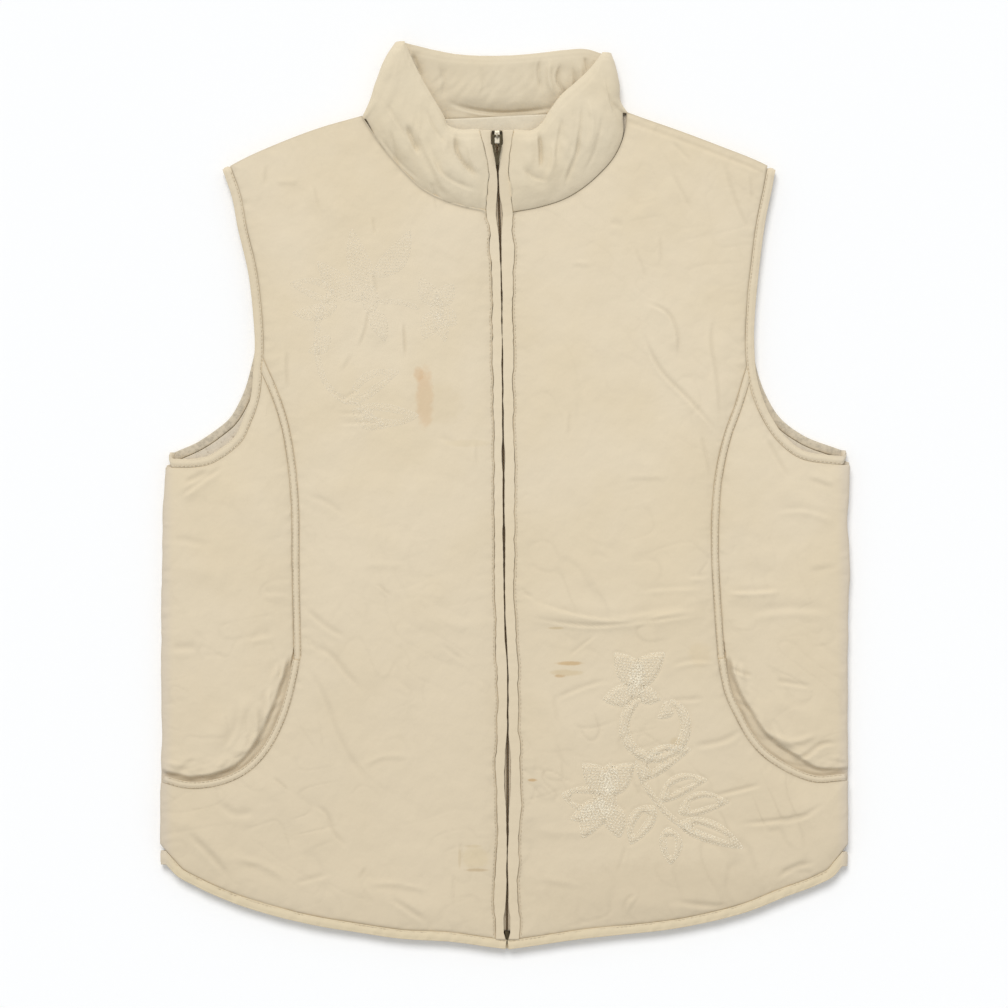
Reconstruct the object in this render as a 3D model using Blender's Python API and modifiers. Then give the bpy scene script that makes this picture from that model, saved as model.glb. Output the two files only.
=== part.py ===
"""A padded zip-up waistcoat with a stand collar and pockets, laid flat, front up.

All lengths are in millimetres until a mesh is made. +X is the wearer's left, +Y
runs from hem to collar and +Z is up off the table, which is at Z = 0. The origin
is the middle of the garment's footprint. The wearer's right half is at -X.
"""
import math

import bmesh
import bpy
import numpy as np
from mathutils.geometry import delaunay_2d_cdt

MM = 0.001                # metres in a millimetre
GAP = 0.3                 # clearance between two pieces
RIGHT, LEFT = "right", "left"
INWARD = {RIGHT: 1, LEFT: -1}   # which side of a seam line the centre front lies on
OUTWARD_X = {RIGHT: -1, LEFT: 1}

# Heights above the table
BACK_TOP = 5.0            # the padded back, flat under and over
FRONT_FLOOR = BACK_TOP + GAP
POCKET_BAG = 1.7          # the flat part of a side panel behind its pocket
POCKET_FLOOR = FRONT_FLOOR + POCKET_BAG + 0.6   # underside of a front over the bag
SEAM_RISE = 2.2           # padding left at a seam
FULL_RISE = 6.0           # padding away from the seams
PUFF_REACH = 9.0          # how far in from a seam the padding takes to rise
EDGE_ROUND = 2.6          # height of the back's rim, where it curves up off the table
ZIP_LIFT = 6.5            # the collar lifts the zip by this
LIFT_ZONE = (206.0, 256.0)   # the heights up the front over which it does so
LAP_RISE = 1.8            # how much higher a front lies where it covers a pocket bag
FACING_THICK = 1.0

# Widths of the narrow pieces
STRIP_WIDTH = 5.2
POCKET_BAND_WIDTH = 5.2
ARMHOLE_BAND_WIDTH = 6.5
HEM_WIDTH = 7.0
BAG_DEPTH = 24.0          # how far a side panel runs on behind its pocket mouth
LAP_ZONE = (BAG_DEPTH + 6, BAG_DEPTH + 14)   # where a front comes down beyond the bag
STRIP_TALL, POCKET_BAND_TALL = 5.6, 4.0
PLACKET_UNDER, PLACKET_TOP = 2.5, 5.5        # above the fronts' floor

# Mouth of a pocket, on the side panel behind it
MOUTH_MARGIN = 1.0        # how far the flat bag shows past the pocket band
MOUTH_RISE = 24.0         # how far from the mouth the side panel takes to rise
MOUTH_ROWS = (3.6, 13.0, MOUTH_RISE)

# Zip
ZIP_TOP_Y, ZIP_FOOT_Y = 273.0, -338.0
TAPE_INNER, TAPE_OUTER = 2.9, 6.2            # from the middle of the zip
TAPE_RISE, TAPE_THICK = 0.2, 1.0
CHAIN_HALF, CHAIN_TALL = 2.6, 2.0
ZIP_BOX_Y = -326.0        # top of the box that ends the zip
BOX_HALF, BOX_LENGTH, BOX_TALL = 2.4, 8.5, 2.2
SLIDER_X, SLIDER_Y = -6.0, 269.0             # middle of the slider
SLIDER_SIZE = (8.0, 10.0, 1.2)               # one plate
SLIDER_CHANNEL = 2.4      # between the two plates
SLIDER_RISE = 1.6         # underside of the slider above the fronts' floor
SLIDER_WEDGE = 1.0        # half the width of the wedge that joins the plates
PULL_LENGTH, PULL_WIDTH, PULL_THICK = 22.0, 7.0, 1.3
EYE_WIDTH, EYE_FOOT = 3.8, -15.5             # the opening in the pull
PULL_NECK = (1.6, -17.0)  # half width where the pull narrows, and how far down
PULL_SHOULDER = -8.0      # where it starts to narrow
PULL_TIP = 0.9            # half width of its tip
PIVOT_RADIUS = 0.65
PIVOT_RISE = 0.35         # clearance of the pivot bar above the slider
PIVOT_AHEAD = 1.0         # how far above the slider's middle the pivot is
BAIL_RADIUS = 1.65        # middle of the arch that holds the pull
BAIL_WIRE = 0.5
BAIL_ROOT = 0.4           # how deep the arch is set in the slider

# Mesh spacing
STEP = 14.0               # along seams
NECK_STEP = 10.0          # along the neck seam, and between sections of the collar
LATTICE = 21.0            # across panels
PUFF_RINGS = (3.5, 10.0)  # rows of points inside a panel's edge
BACK_RINGS = (3.0, 8.0)

# Outlines. Columns: x, y. Each runs from the top down or from the side to the zip.
SHOULDER = {
    RIGHT: ((-107.5, 285.5), (-139, 276.5), (-169, 265.3), (-199, 251.8), (-213, 244)),
    LEFT: ((91.5, 288.3), (101, 284.8), (131, 274.3), (161, 263), (191, 251), (205, 244)),
}
ARMHOLE = {
    RIGHT: ((-210.8, 242), (-205.5, 227), (-200.2, 200), (-192.8, 168.5), (-189.3, 140), (-187.9, 110),
            (-188.8, 96.5), (-191.5, 72.5), (-197, 57.5), (-203, 45), (-213, 36.5), (-223.5, 30.5),
            (-235.5, 28.5), (-249, 28.5)),
    LEFT: ((202.4, 241.5), (200.7, 232), (195.8, 208.5), (191.2, 174.5), (187.9, 141.5), (187.2, 108.5),
           (189, 90), (198, 63.5), (210, 45.5), (223.5, 35), (241, 31.5), (253, 30.5)),
}
BACK_ARMHOLE = {
    RIGHT: ((-210.8, 242), (-204, 224), (-198.5, 200), (-191, 168.5), (-188, 140), (-188, 111),
            (-191, 96.5), (-199, 72.5), (-207.5, 58.5), (-217, 50.5), (-229.5, 42), (-249, 33)),
    LEFT: ((202.4, 241.5), (199.5, 229), (194, 208.5), (189.5, 174.5), (186.9, 141.5), (187.8, 102),
           (196, 76.5), (207, 59), (223.5, 46.5), (253, 35)),
}
SIDE = {
    RIGHT: ((-253.5, 45), (-255, 14), (-256, -7), (-257.4, -60), (-257.8, -143.5), (-257.2, -185.5),
            (-258.4, -227.5), (-258.4, -285)),
    LEFT: ((257, 45), (258.5, 14), (257, -17.5), (258.5, -49), (257, -100), (257, -206.5),
           (257, -259), (257, -285)),
}
HEM = {
    RIGHT: ((-253.5, -277), (-247, -284), (-232, -292.5), (-205.5, -304.3), (-176, -313.7), (-144, -321.5),
            (-111, -327), (-79, -331.7), (-41, -333.9), (-9, -338.6)),
    LEFT: ((252.5, -278), (247, -284.5), (236, -290.5), (208.5, -301), (182, -311.5), (142.5, -321.5),
           (52.5, -332.5), (12.4, -338.8)),
}
STRIP = {
    RIGHT: ((-181, 96), (-175, 82.5), (-169, 66.5), (-165, 52.5), (-160, 23), (-158, 1.5),
            (-157, -52.5), (-155.5, -120)),
    LEFT: ((181, 87.5), (175, 67.5), (167.5, 47), (163.5, 31.5), (160, 12.5), (158, -12),
           (157.5, -39), (159, -75), (162, -119)),
}
POCKET = {
    RIGHT: ((-156.5, -122.5), (-159.5, -137.5), (-163.5, -154), (-170, -172), (-180, -190),
            (-194, -204.5), (-208.5, -212), (-226.5, -216), (-240, -216), (-253.5, -212.5)),
    LEFT: ((162.5, -121.5), (164.5, -134), (168, -148.5), (175.5, -164.5), (184, -180), (196, -193.5),
           (207, -201), (219.5, -207.5), (232, -211.5), (253, -210.5)),
}
NECK = {
    RIGHT: ((-13.5, 213.5), (-37.5, 219), (-59, 228.5), (-80, 248), (-94.5, 265.5), (-107, 284)),
    LEFT: ((6.5, 213.5), (27, 217.5), (46, 224), (69, 240.5), (83, 257), (90, 276), (91, 288.5)),
}
BACK_NECK = ((-107, 284), (-44, 284), (31.5, 287.5), (91, 288.5))
FACING_ENDS = (-99, 85)   # how far along the neck seam the lining strip runs
FACING_EDGE = ((-98, 279), (-72, 264), (-40, 252), (-8, 248.5), (30, 252), (62, 264), (84, 283))

# Centre front. Columns: y, zip x, half the opening, right groove x, left groove x.
CENTRE_FRONT = (
    (274.5, -6.0, 5.0, -18.0, 7.0),
    (269.6, -6.0, 5.0, -17.0, 6.3),
    (261.1, -5.9, 4.7, -15.1, 4.9),
    (250.1, -5.7, 3.6, -13.5, 3.4),
    (239.1, -5.3, 1.4, -12.6, 3.2),
    (228.7, -4.9, 1.2, -12.6, 4.5),
    (219.6, -4.6, 1.9, -13.4, 5.8),
    (213.5, -4.4, 2.8, -13.6, 6.5),
    (200.0, -3.8, 2.4, -11.8, 5.8),
    (186.0, -3.4, 1.1, -12.0, 6.5),
    (168.0, -2.8, 1.0, -9.8, 5.6),
    (120.0, -2.2, 1.0, -9.3, 5.9),
    (60.0, -1.6, 1.0, -8.6, 6.4),
    (0.0, -1.0, 1.0, -8.0, 7.0),
    (-60.0, -0.5, 1.0, -7.4, 6.8),
    (-95.0, 0.0, 1.0, -6.9, 7.0),
    (-133.0, 2.0, 1.0, -6.0, 10.0),
    (-165.0, 2.0, 1.2, -5.2, 10.0),
    (-195.0, 2.0, 1.6, -7.0, 11.5),
    (-230.0, 2.0, 1.8, -6.0, 12.0),
    (-260.0, 1.9, 1.2, -6.0, 10.6),
    (-290.0, 1.6, 1.3, -7.5, 9.6),
    (-310.0, 1.5, 2.2, -7.9, 10.8),
    (-326.0, 1.5, 2.1, -7.5, 10.9),
    (-339.6, 1.5, 1.0, -7.0, 10.5),
)
# Soft folds raised in the fronts. Columns: x and y at each end, height, half width.
FOLDS = (
    (8.0, -87.0, 108.0, -93.0, 1.7, 9.0),
    (108.0, -93.0, 150.0, -85.0, 1.2, 8.0),
    (164.0, -74.0, 206.0, -74.0, 1.0, 7.0),
    (101.0, 125.0, 158.0, 46.0, 0.9, 8.0),
    (158.0, 125.0, 163.0, 60.0, 0.8, 7.0),
    (109.0, 148.0, 131.0, 110.0, 0.8, 8.0),
    (-97.0, 208.0, -97.0, 110.0, 0.8, 8.0),
    (-75.0, 133.0, -75.0, 60.0, 0.7, 8.0),
    (-248.0, -238.0, -202.0, -280.0, 1.1, 8.0),
    (-180.0, -214.0, -131.0, -265.0, 1.0, 9.0),
    (-124.0, -288.0, -49.0, -316.0, 1.0, 8.0),
    (82.0, -302.0, 146.0, -312.0, 1.0, 8.0),
    (221.0, -225.0, 246.0, -275.0, 1.1, 8.0),
    (-216.0, 18.0, -244.0, -2.0, 0.9, 7.0),
    (196.0, -150.0, 240.0, -168.0, 0.9, 8.0),
    (-188.0, -150.0, -225.0, -188.0, 1.0, 8.0),
    (-205.0, -60.0, -250.0, -48.0, 0.7, 9.0),
    (-200.0, 8.0, -172.0, -30.0, 0.7, 8.0),
    (205.0, 10.0, 246.0, -22.0, 0.8, 8.0),
    (178.0, -40.0, 214.0, -52.0, 0.6, 8.0),
    (20.0, -150.0, 70.0, -190.0, 0.7, 9.0),
    (-120.0, -20.0, -60.0, -45.0, 0.6, 9.0),
    (130.0, 235.0, 95.0, 205.0, 0.8, 8.0),
    (-150.0, 232.0, -118.0, 205.0, 0.7, 8.0),
)

# Collar. Columns: share of its height, wall, middle of the front leaf, of the back.
COLLAR_ROWS = np.array((
    (0.00, 2.4, 7.9, 2.6),
    (0.10, 4.7, 9.9, 2.7),
    (0.25, 6.3, 12.2, 3.2),
    (0.42, 6.9, 13.7, 3.5),
    (0.60, 7.0, 14.4, 3.5),
    (0.78, 6.8, 14.7, 3.4),
    (0.92, 5.6, 14.5, 3.0),
    (1.00, 3.4, 13.7, 2.6),
))
# Creases pressed into the padding of the collar. Columns: place along the leaf or the
# back, how far that place moves from seam to top, depth, half width, as shares and mm.
LEAF_CREASES = {
    RIGHT: ((0.34, -0.10, 1.3, 0.050), (0.60, 0.14, 1.6, 0.055), (0.82, 0.06, 0.9, 0.045)),
    LEFT: ((0.24, 0.08, 1.1, 0.045), (0.52, -0.12, 1.5, 0.055), (0.76, -0.05, 1.2, 0.050)),
}
BACK_CREASES = ((0.16, 0.05, 0.8, 0.040), (0.62, 0.04, 1.2, 0.035), (0.74, 0.05, 1.3, 0.035),
                (0.86, -0.03, 1.0, 0.035))
LEAF_TOP = {
    RIGHT: ((-18.3, 274.5), (-36, 273), (-42.5, 276.5), (-46, 284), (-52, 294), (-61.5, 310), (-68, 322),
            (-75.7, 339.6)),
    LEFT: ((7.3, 274.5), (21, 272), (27, 278), (33, 287), (43, 300), (55, 310.5), (66, 321.5),
           (72.9, 331.3)),
}
FOLD_EDGE = {
    RIGHT: ((-107, 284), (-102, 296), (-97, 310.5), (-93, 321.5), (-88, 332), (-83, 339.8)),
    LEFT: ((91, 288.5), (86.3, 298), (85.6, 309), (84.2, 320), (80.2, 331.6)),
}
BACK_COLLAR_TOP = ((-75.7, 339.8), (-66, 337.3), (-37.5, 331.5), (-6, 330), (20, 331.5), (46, 334.3),
                   (64, 335.2), (72.9, 333))
COLLAR_EDGE_WALL = 0.55   # share of the wall left where the collar meets the zip

# Cross-section of a sewn band, as shares of its width and thickness
BAND_PROFILE = ((-0.5, -0.25), (-0.5, 0.15), (-0.3, 0.5), (0.3, 0.5),
                (0.5, 0.15), (0.5, -0.25), (0.3, -0.5), (-0.3, -0.5))
EDGE_BAND_HIGH = 7.9      # middle of the front part of the armhole and hem bands
EDGE_BAND_LOW = 2.45      # middle of their back part
EDGE_BAND_WALL = 4.9
TURN_ANGLES = (30, 60, 90, 120, 150)   # a band or the collar turning under, in degrees

# Colours as linear red, green and blue, with roughness and metallic
SHELL_CLOTH = (0.760, 0.650, 0.490, 0.85, 0.0)
LINING_CLOTH = (0.580, 0.470, 0.370, 0.80, 0.0)
BINDING_CLOTH = (0.700, 0.590, 0.420, 0.85, 0.0)
TAPE_CLOTH = (0.450, 0.390, 0.300, 0.85, 0.0)
ZIP_METAL = (0.100, 0.085, 0.065, 0.45, 0.9)


# ---------------------------------------------------------------- lines

def smooth_curve(points, step=STEP):
    """A curve through the points, read at even distances of about one step."""
    points = np.asarray(points, float)
    chord = np.linalg.norm(np.diff(points, axis=0), axis=1)[:, None]
    slope = np.diff(points, axis=0) / chord
    inner = (slope[:-1] * chord[1:] + slope[1:] * chord[:-1]) / (chord[:-1] + chord[1:])
    tangent = np.vstack([slope[:1], inner, slope[-1:]])
    t = np.linspace(0, 1, 20, endpoint=False)[:, None]
    fine = [points[i] * (1 + 2 * t) * (1 - t) ** 2 + tangent[i] * chord[i] * t * (1 - t) ** 2
            + points[i + 1] * t ** 2 * (3 - 2 * t) - tangent[i + 1] * chord[i] * t ** 2 * (1 - t)
            for i in range(len(chord))]
    fine = np.vstack(fine + [points[-1:]])
    count = max(int(round(line_length(fine) / step)), 1) + 1
    return read_line(fine, np.linspace(0, 1, count))


def line_length(line):
    """Length along a line of points."""
    return np.linalg.norm(np.diff(line, axis=0), axis=1).sum()


def read_line(line, shares):
    """Points at the given shares of a line's length."""
    travelled = np.concatenate([[0], np.cumsum(np.linalg.norm(np.diff(line, axis=0), axis=1))])
    places = np.asarray(shares) * travelled[-1]
    return np.stack([np.interp(places, travelled, line[:, k]) for k in range(line.shape[1])], axis=1)


def to_the_left(vectors):
    """Flat vectors turned a quarter to the left."""
    return np.stack([-vectors[:, 1], vectors[:, 0]], axis=1)


def offset_line(line, distance, closed=False):
    """The line moved sideways with mitred corners; a positive distance is to its left."""
    around = np.vstack([line[-1:], line, line[:1]]) if closed else line
    run = np.diff(around, axis=0)
    run /= np.linalg.norm(run, axis=1)[:, None]
    if not closed:
        run = np.vstack([run[:1], run, run[-1:]])
    before, after = to_the_left(run[:-1]), to_the_left(run[1:])
    mitre = before + after
    mitre /= np.maximum(np.sum(mitre * after, axis=1), 0.4)[:, None]
    return line + distance * mitre


def extend(line, before=0.0, after=0.0):
    """The line with its two ends drawn out straight."""
    line = line.copy()
    first, last = line[0] - line[1], line[-1] - line[-2]
    line[0] += first / np.linalg.norm(first) * before
    line[-1] += last / np.linalg.norm(last) * after
    return line


def crossing(first, second):
    """Where two lines cross: the point and the segment's index on each, or None."""
    for i in range(len(first) - 2, -1, -1):
        p, r = first[i], first[i + 1] - first[i]
        for j in range(len(second) - 1):
            q, s = second[j], second[j + 1] - second[j]
            cross = r[0] * s[1] - r[1] * s[0]
            if abs(cross) < 1e-9:
                continue
            t = ((q - p)[0] * s[1] - (q - p)[1] * s[0]) / cross
            u = ((q - p)[0] * r[1] - (q - p)[1] * r[0]) / cross
            if 0 <= t <= 1 and 0 <= u <= 1:
                return p + t * r, i, j
    return None


def join(*lines):
    """A closed outline from lines in order, each cut where it crosses the next."""
    lines = [np.asarray(line, float) for line in lines]
    for k, line in enumerate(lines):
        following = (k + 1) % len(lines)
        found = crossing(line, lines[following])
        if found:
            point, i, j = found
            lines[k] = np.vstack([line[:i + 1], point])
            lines[following] = np.vstack([point, lines[following][j + 1:]])
    outline = np.vstack(lines)
    apart = np.linalg.norm(outline - np.roll(outline, 1, axis=0), axis=1) > 0.5
    return outline[apart]


def distance_to(points, line, closed=False):
    """Distance from each point to a line."""
    line = np.vstack([line, line[:1]]) if closed else line
    start, run = line[:-1], np.diff(line, axis=0)
    reach = points[:, None] - start[None]
    t = np.clip(np.sum(reach * run, axis=2) / np.sum(run * run, axis=1), 0, 1)
    return np.linalg.norm(reach - t[..., None] * run, axis=2).min(axis=1)


def inside(points, outline):
    """Which points lie inside a closed outline."""
    x, y = points[:, 0, None], points[:, 1, None]
    a, b = outline, np.roll(outline, -1, axis=0)
    with np.errstate(divide="ignore", invalid="ignore"):
        edge_x = a[:, 0] + (y - a[:, 1]) * (b[:, 0] - a[:, 0]) / (b[:, 1] - a[:, 1])
    hits = ((a[:, 1] > y) != (b[:, 1] > y)) & (x < edge_x)
    return hits.sum(axis=1) % 2 == 1


def ease(value, low, high):
    """0 below low, 1 above high and a smooth rise between."""
    t = np.clip((value - low) / (high - low), 0, 1)
    return t * t * (3 - 2 * t)


# ---------------------------------------------------------------- solids

def material(name, finish):
    """A Principled material of the given colour, roughness and metallic value."""
    made = bpy.data.materials.new(name)
    made.use_nodes = True
    shader = made.node_tree.nodes["Principled BSDF"]
    shader.inputs["Base Color"].default_value = (*finish[:3], 1.0)
    shader.inputs["Roughness"].default_value = finish[3]
    shader.inputs["Metallic"].default_value = finish[4]
    made.diffuse_color = (*finish[:3], 1.0)
    return made


def add_object(name, mesh, finish, place=(0, 0, 0)):
    """Puts a mesh in the garment's collection with a material of its own."""
    mesh.materials.clear()
    mesh.materials.append(material(name, finish))
    made = bpy.data.objects.new(name, mesh)
    made.location = [MM * value for value in place]
    garment.objects.link(made)
    return made


def add_faces(name, points, faces, finish, place=(0, 0, 0)):
    """One closed body from points in millimetres, facing out and shaded smooth."""
    mesh = bpy.data.meshes.new(name)
    mesh.from_pydata((np.asarray(points) * MM).tolist(), [], faces)
    body = bmesh.new()
    body.from_mesh(mesh)
    bmesh.ops.recalc_face_normals(body, faces=body.faces)
    body.to_mesh(mesh)
    body.free()
    mesh.shade_smooth()
    mesh.set_sharp_from_angle(angle=math.radians(50))
    return add_object(name, mesh, finish, place)


def triangles(outline, inner):
    """Triangles over an outline and the points inside it, outline points first."""
    points = np.vstack([outline, inner]) if len(inner) else outline
    ring = [(i, (i + 1) % len(outline)) for i in range(len(outline))]
    found = delaunay_2d_cdt(points.tolist(), ring, [], 0, 1e-5, True)
    order = np.array([ids[0] for ids in found[3]])
    assert len(order) == len(points), "an outline crosses itself"
    faces = order[np.array(found[2])]
    return points, faces[inside(points[faces].mean(axis=1), outline)].tolist()


def lattice_inside(outline, rings, rows):
    """Points over a panel: rings inside its edge, the given rows and an even lattice."""
    kept = [np.zeros((0, 2))]
    for ring in rings:
        moved = offset_line(outline, ring, closed=True)
        moved = moved[inside(moved, outline)]
        kept.append(moved[distance_to(moved, outline, True) > 0.8 * ring])
    for row in rows:
        row = row[inside(row, outline)]
        kept.append(row[distance_to(row, outline, True) > 0.5 * STEP])
    low, high = outline.min(axis=0), outline.max(axis=0)
    across = np.arange(low[0], high[0], LATTICE)
    up = np.arange(low[1], high[1], LATTICE)
    x, y = np.meshgrid(across, up)
    x[1::2] += LATTICE / 2
    even = np.stack([x.ravel(), y.ravel()], axis=1)
    even = even[inside(even, outline)]
    kept.append(even[distance_to(even, outline, True) > rings[-1] + 0.4 * LATTICE])
    thinned = kept[0]
    for group, clear in zip(kept[1:], [0.35 * STEP] * (len(kept) - 2) + [0.55 * LATTICE]):
        for point in group:
            if not len(thinned) or np.linalg.norm(thinned - point, axis=1).min() > clear:
                thinned = np.vstack([thinned, point])
    return thinned


def counterclockwise(outline):
    """The outline, turned round if it runs clockwise."""
    x, y = outline.T
    area = np.sum(x * np.roll(y, -1) - np.roll(x, -1) * y)
    return outline if area > 0 else outline[::-1]


def add_panel(name, outline, over, under, finish, over_points=None, under_points=None):
    """A flat-lying cloth panel: over and under give its two faces' heights."""
    outline = counterclockwise(outline)
    none = np.zeros((0, 2))
    top, top_faces = triangles(outline, none if over_points is None else over_points)
    low, low_faces = triangles(outline, none if under_points is None else under_points)
    heights = over(top, distance_to(top, outline, True))
    floors = under(low, distance_to(low, outline, True))
    points = np.vstack([np.column_stack([top, heights]), np.column_stack([low, floors])])
    start = len(top)
    faces = [list(face) for face in top_faces]
    faces += [[start + i for i in reversed(face)] for face in low_faces]
    count = len(outline)
    faces += [[start + i, start + (i + 1) % count, (i + 1) % count, i] for i in range(count)]
    return add_faces(name, points, faces, finish)


def add_loft(name, middles, across, through, finish, closed=False, profile=BAND_PROFILE):
    """A band through sections: each has a middle, its width and its thickness as vectors."""
    share = np.asarray(profile, float)
    rings = (middles[:, None] + share[None, :, :1] * across[:, None]
             + share[None, :, 1:] * through[:, None])
    count, sides = rings.shape[:2]
    faces = [[i * sides + j, i * sides + (j + 1) % sides,
              (i + 1) % count * sides + (j + 1) % sides, (i + 1) % count * sides + j]
             for i in range(count if closed else count - 1) for j in range(sides)]
    if not closed:
        faces += [list(range(sides)), [(count - 1) * sides + j for j in range(sides)]]
    return add_faces(name, rings.reshape(-1, 3), faces, finish)


def add_rail_band(name, first, second, low, high, finish):
    """A band between two flat rails, from one height to another."""
    low, high = np.broadcast_to(low, len(first)), np.broadcast_to(high, len(first))
    middles = np.column_stack([(first + second) / 2, (low + high) / 2])
    across = np.column_stack([second - first, np.zeros(len(first))])
    through = np.column_stack([np.zeros((len(first), 2)), high - low])
    return add_loft(name, middles, across, through, finish)


# ---------------------------------------------------------------- heights

def fold_height(points):
    """Height that the soft folds add."""
    total = np.zeros(len(points))
    for x0, y0, x1, y1, height, half in FOLDS:
        start, run = np.array((x0, y0)), np.array((x1 - x0, y1 - y0))
        along = (points - start) @ run / (run @ run)
        away = np.linalg.norm(points - start - np.clip(along, 0, 1)[:, None] * run, axis=1)
        taper = ease(along, -0.05, 0.2) * ease(1 - along, -0.05, 0.2)
        total += height * taper * np.exp(-(away / half) ** 2)
    return total


def fold_points():
    """Points along each fold's crest and both its feet."""
    rows = []
    for x0, y0, x1, y1, _, half in FOLDS:
        crest = np.stack([np.linspace(x0, x1, 6), np.linspace(y0, y1, 6)], axis=1)
        rows += [crest, offset_line(crest, 1.3 * half), offset_line(crest, -1.3 * half)]
    return rows


def puff(points, depth):
    """Height of the padding above a panel's floor, at a depth in from its edge."""
    risen = 1 - np.exp(-depth / PUFF_REACH)
    sway = 0.4 * np.sin(points[:, 0] / 31 + 0.8) * np.sin(points[:, 1] / 47)
    return SEAM_RISE + risen * (FULL_RISE - SEAM_RISE + sway + fold_height(points))


def above_line(points, line):
    """Distance to the left of a line, negative to its right."""
    run = np.diff(line, axis=0)
    reach = points[:, None] - line[None, :-1]
    t = np.clip(np.sum(reach * run, axis=2) / np.sum(run * run, axis=1), 0, 1)
    nearest = np.linalg.norm(reach - t[..., None] * run, axis=2)
    side = run[:, 0] * reach[..., 1] - run[:, 1] * reach[..., 0]
    pick = nearest.argmin(axis=1)
    rows = np.arange(len(points))
    return np.sign(side[rows, pick]) * nearest[rows, pick]


def zip_lift(y):
    """How far the collar lifts the zip and its plackets at a height up the front."""
    return ZIP_LIFT * ease(y, *LIFT_ZONE)


# ---------------------------------------------------------------- seams

def seam_lines(side):
    """Every seam line of one half, with points that its neighbours share."""
    inward = INWARD[side]
    front = np.array(CENTRE_FRONT)
    groove = front[:, [3 if side == RIGHT else 4, 0]]
    return {
        "shoulder": smooth_curve(SHOULDER[side]),
        "armhole": smooth_curve(ARMHOLE[side]),
        "back_armhole": smooth_curve(BACK_ARMHOLE[side]),
        "side": smooth_curve(SIDE[side]),
        "hem": smooth_curve(HEM[side]),
        "strip": smooth_curve(STRIP[side]),
        "pocket": smooth_curve(POCKET[side], 0.85 * STEP),
        "neck": smooth_curve(NECK[side], NECK_STEP),
        "groove": groove[::-1],
        "inward": inward,
    }


def inner_edge(lines, seam, distance, before=0.0, after=0.0):
    """A seam line moved towards the centre front, with straight ends added."""
    return extend(offset_line(lines[seam], lines["inward"] * distance), before, after)


def groove_edge(lines):
    """The front panel's edge beside the placket, from hem to neck."""
    edge = lines["groove"].copy()
    edge[:, 0] -= lines["inward"] * GAP
    return edge


def level(height):
    """A panel face that is flat, at one height."""
    return lambda points, depth: np.full(len(points), height)


def add_front(side, lines):
    """The padded centre front, from shoulder to hem, lapping over the pocket bag."""
    outline = join(
        inner_edge(lines, "neck", GAP, before=6),
        lines["shoulder"],
        inner_edge(lines, "armhole", ARMHOLE_BAND_WIDTH + GAP, before=20),
        inner_edge(lines, "strip", STRIP_WIDTH / 2 + GAP, before=20),
        inner_edge(lines, "pocket", POCKET_BAND_WIDTH / 2 + GAP, after=20),
        lines["side"],
        inner_edge(lines, "hem", HEM_WIDTH + GAP, before=20, after=10),
        groove_edge(lines),
    )
    pocket = lines["pocket"]
    lap_line = extend(pocket, before=BAG_DEPTH + GAP)

    def lap(points):
        """1 over the pocket bag, 0 beyond it."""
        return 1 - ease(distance_to(points, lap_line), *LAP_ZONE)

    def over(points, depth):
        return FRONT_FLOOR + puff(points, depth) + LAP_RISE * lap(points)

    def under(points, depth):
        return FRONT_FLOOR + (POCKET_FLOOR - FRONT_FLOOR) * lap(points)

    rows = [smooth_curve(offset_line(lap_line, INWARD[side] * reach)) for reach in LAP_ZONE]
    low = np.vstack([row[inside(row, outline)] for row in rows])
    low = low[distance_to(low, outline, True) > 2]
    high = lattice_inside(counterclockwise(outline), PUFF_RINGS, fold_points())
    add_panel(f"front_{side}", outline, over, under, SHELL_CLOTH, high, low)


def add_side(side, lines):
    """The padded side front, which runs on flat behind the pocket mouth."""
    pocket, inward = lines["pocket"], INWARD[side]
    strip = inner_edge(lines, "strip", -(STRIP_WIDTH / 2 + GAP), before=20)
    strip = np.vstack([strip, strip[-1] + (0, -4)])
    bag = offset_line(pocket, inward * BAG_DEPTH)
    outline = join(
        inner_edge(lines, "armhole", ARMHOLE_BAND_WIDTH + GAP, after=20)[::-1],
        strip,
        extend(bag, after=20),
        lines["side"][::-1],
    )
    mouth = offset_line(pocket, -inward * (POCKET_BAND_WIDTH / 2 + MOUTH_MARGIN))
    long_mouth = extend(mouth, before=BAG_DEPTH, after=BAG_DEPTH)

    def over(points, depth):
        beyond = -inward * above_line(points, long_mouth)
        padding = np.maximum(puff(points, depth) - POCKET_BAG, 0)
        return FRONT_FLOOR + POCKET_BAG + padding * ease(beyond, 0.0, MOUTH_RISE)

    mouth_rows = [offset_line(pocket, -inward * reach) for reach in MOUTH_ROWS]
    high = lattice_inside(counterclockwise(outline), PUFF_RINGS, mouth_rows + fold_points())
    add_panel(f"side_{side}", outline, over, level(FRONT_FLOOR), SHELL_CLOTH, high)


def add_back(halves):
    """The padded back: flat on the table, its rim curving up to meet the fronts."""
    right, left = halves[RIGHT], halves[LEFT]
    neck = offset_line(smooth_curve(BACK_NECK), -GAP)
    outline = join(
        neck[::-1],
        right["shoulder"],
        inner_edge(right, "back_armhole", ARMHOLE_BAND_WIDTH + GAP, before=20, after=20),
        right["side"],
        inner_edge(right, "hem", HEM_WIDTH + GAP, before=20),
        inner_edge(left, "hem", HEM_WIDTH + GAP, before=20)[::-1],
        left["side"][::-1],
        inner_edge(left, "back_armhole", ARMHOLE_BAND_WIDTH + GAP, before=20, after=20)[::-1],
        left["shoulder"][::-1],
    )

    def under(points, depth):
        return EDGE_ROUND * (1 - np.clip(depth / BACK_RINGS[1], 0, 1)) ** 2

    turned = counterclockwise(outline)
    rings = [offset_line(turned, ring, closed=True) for ring in BACK_RINGS]
    low = np.vstack(rings)
    low = low[inside(low, turned) & (distance_to(low, turned, True) > 0.8 * BACK_RINGS[0])]
    add_panel("back", outline, level(BACK_TOP), under, SHELL_CLOTH, under_points=low)


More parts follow.
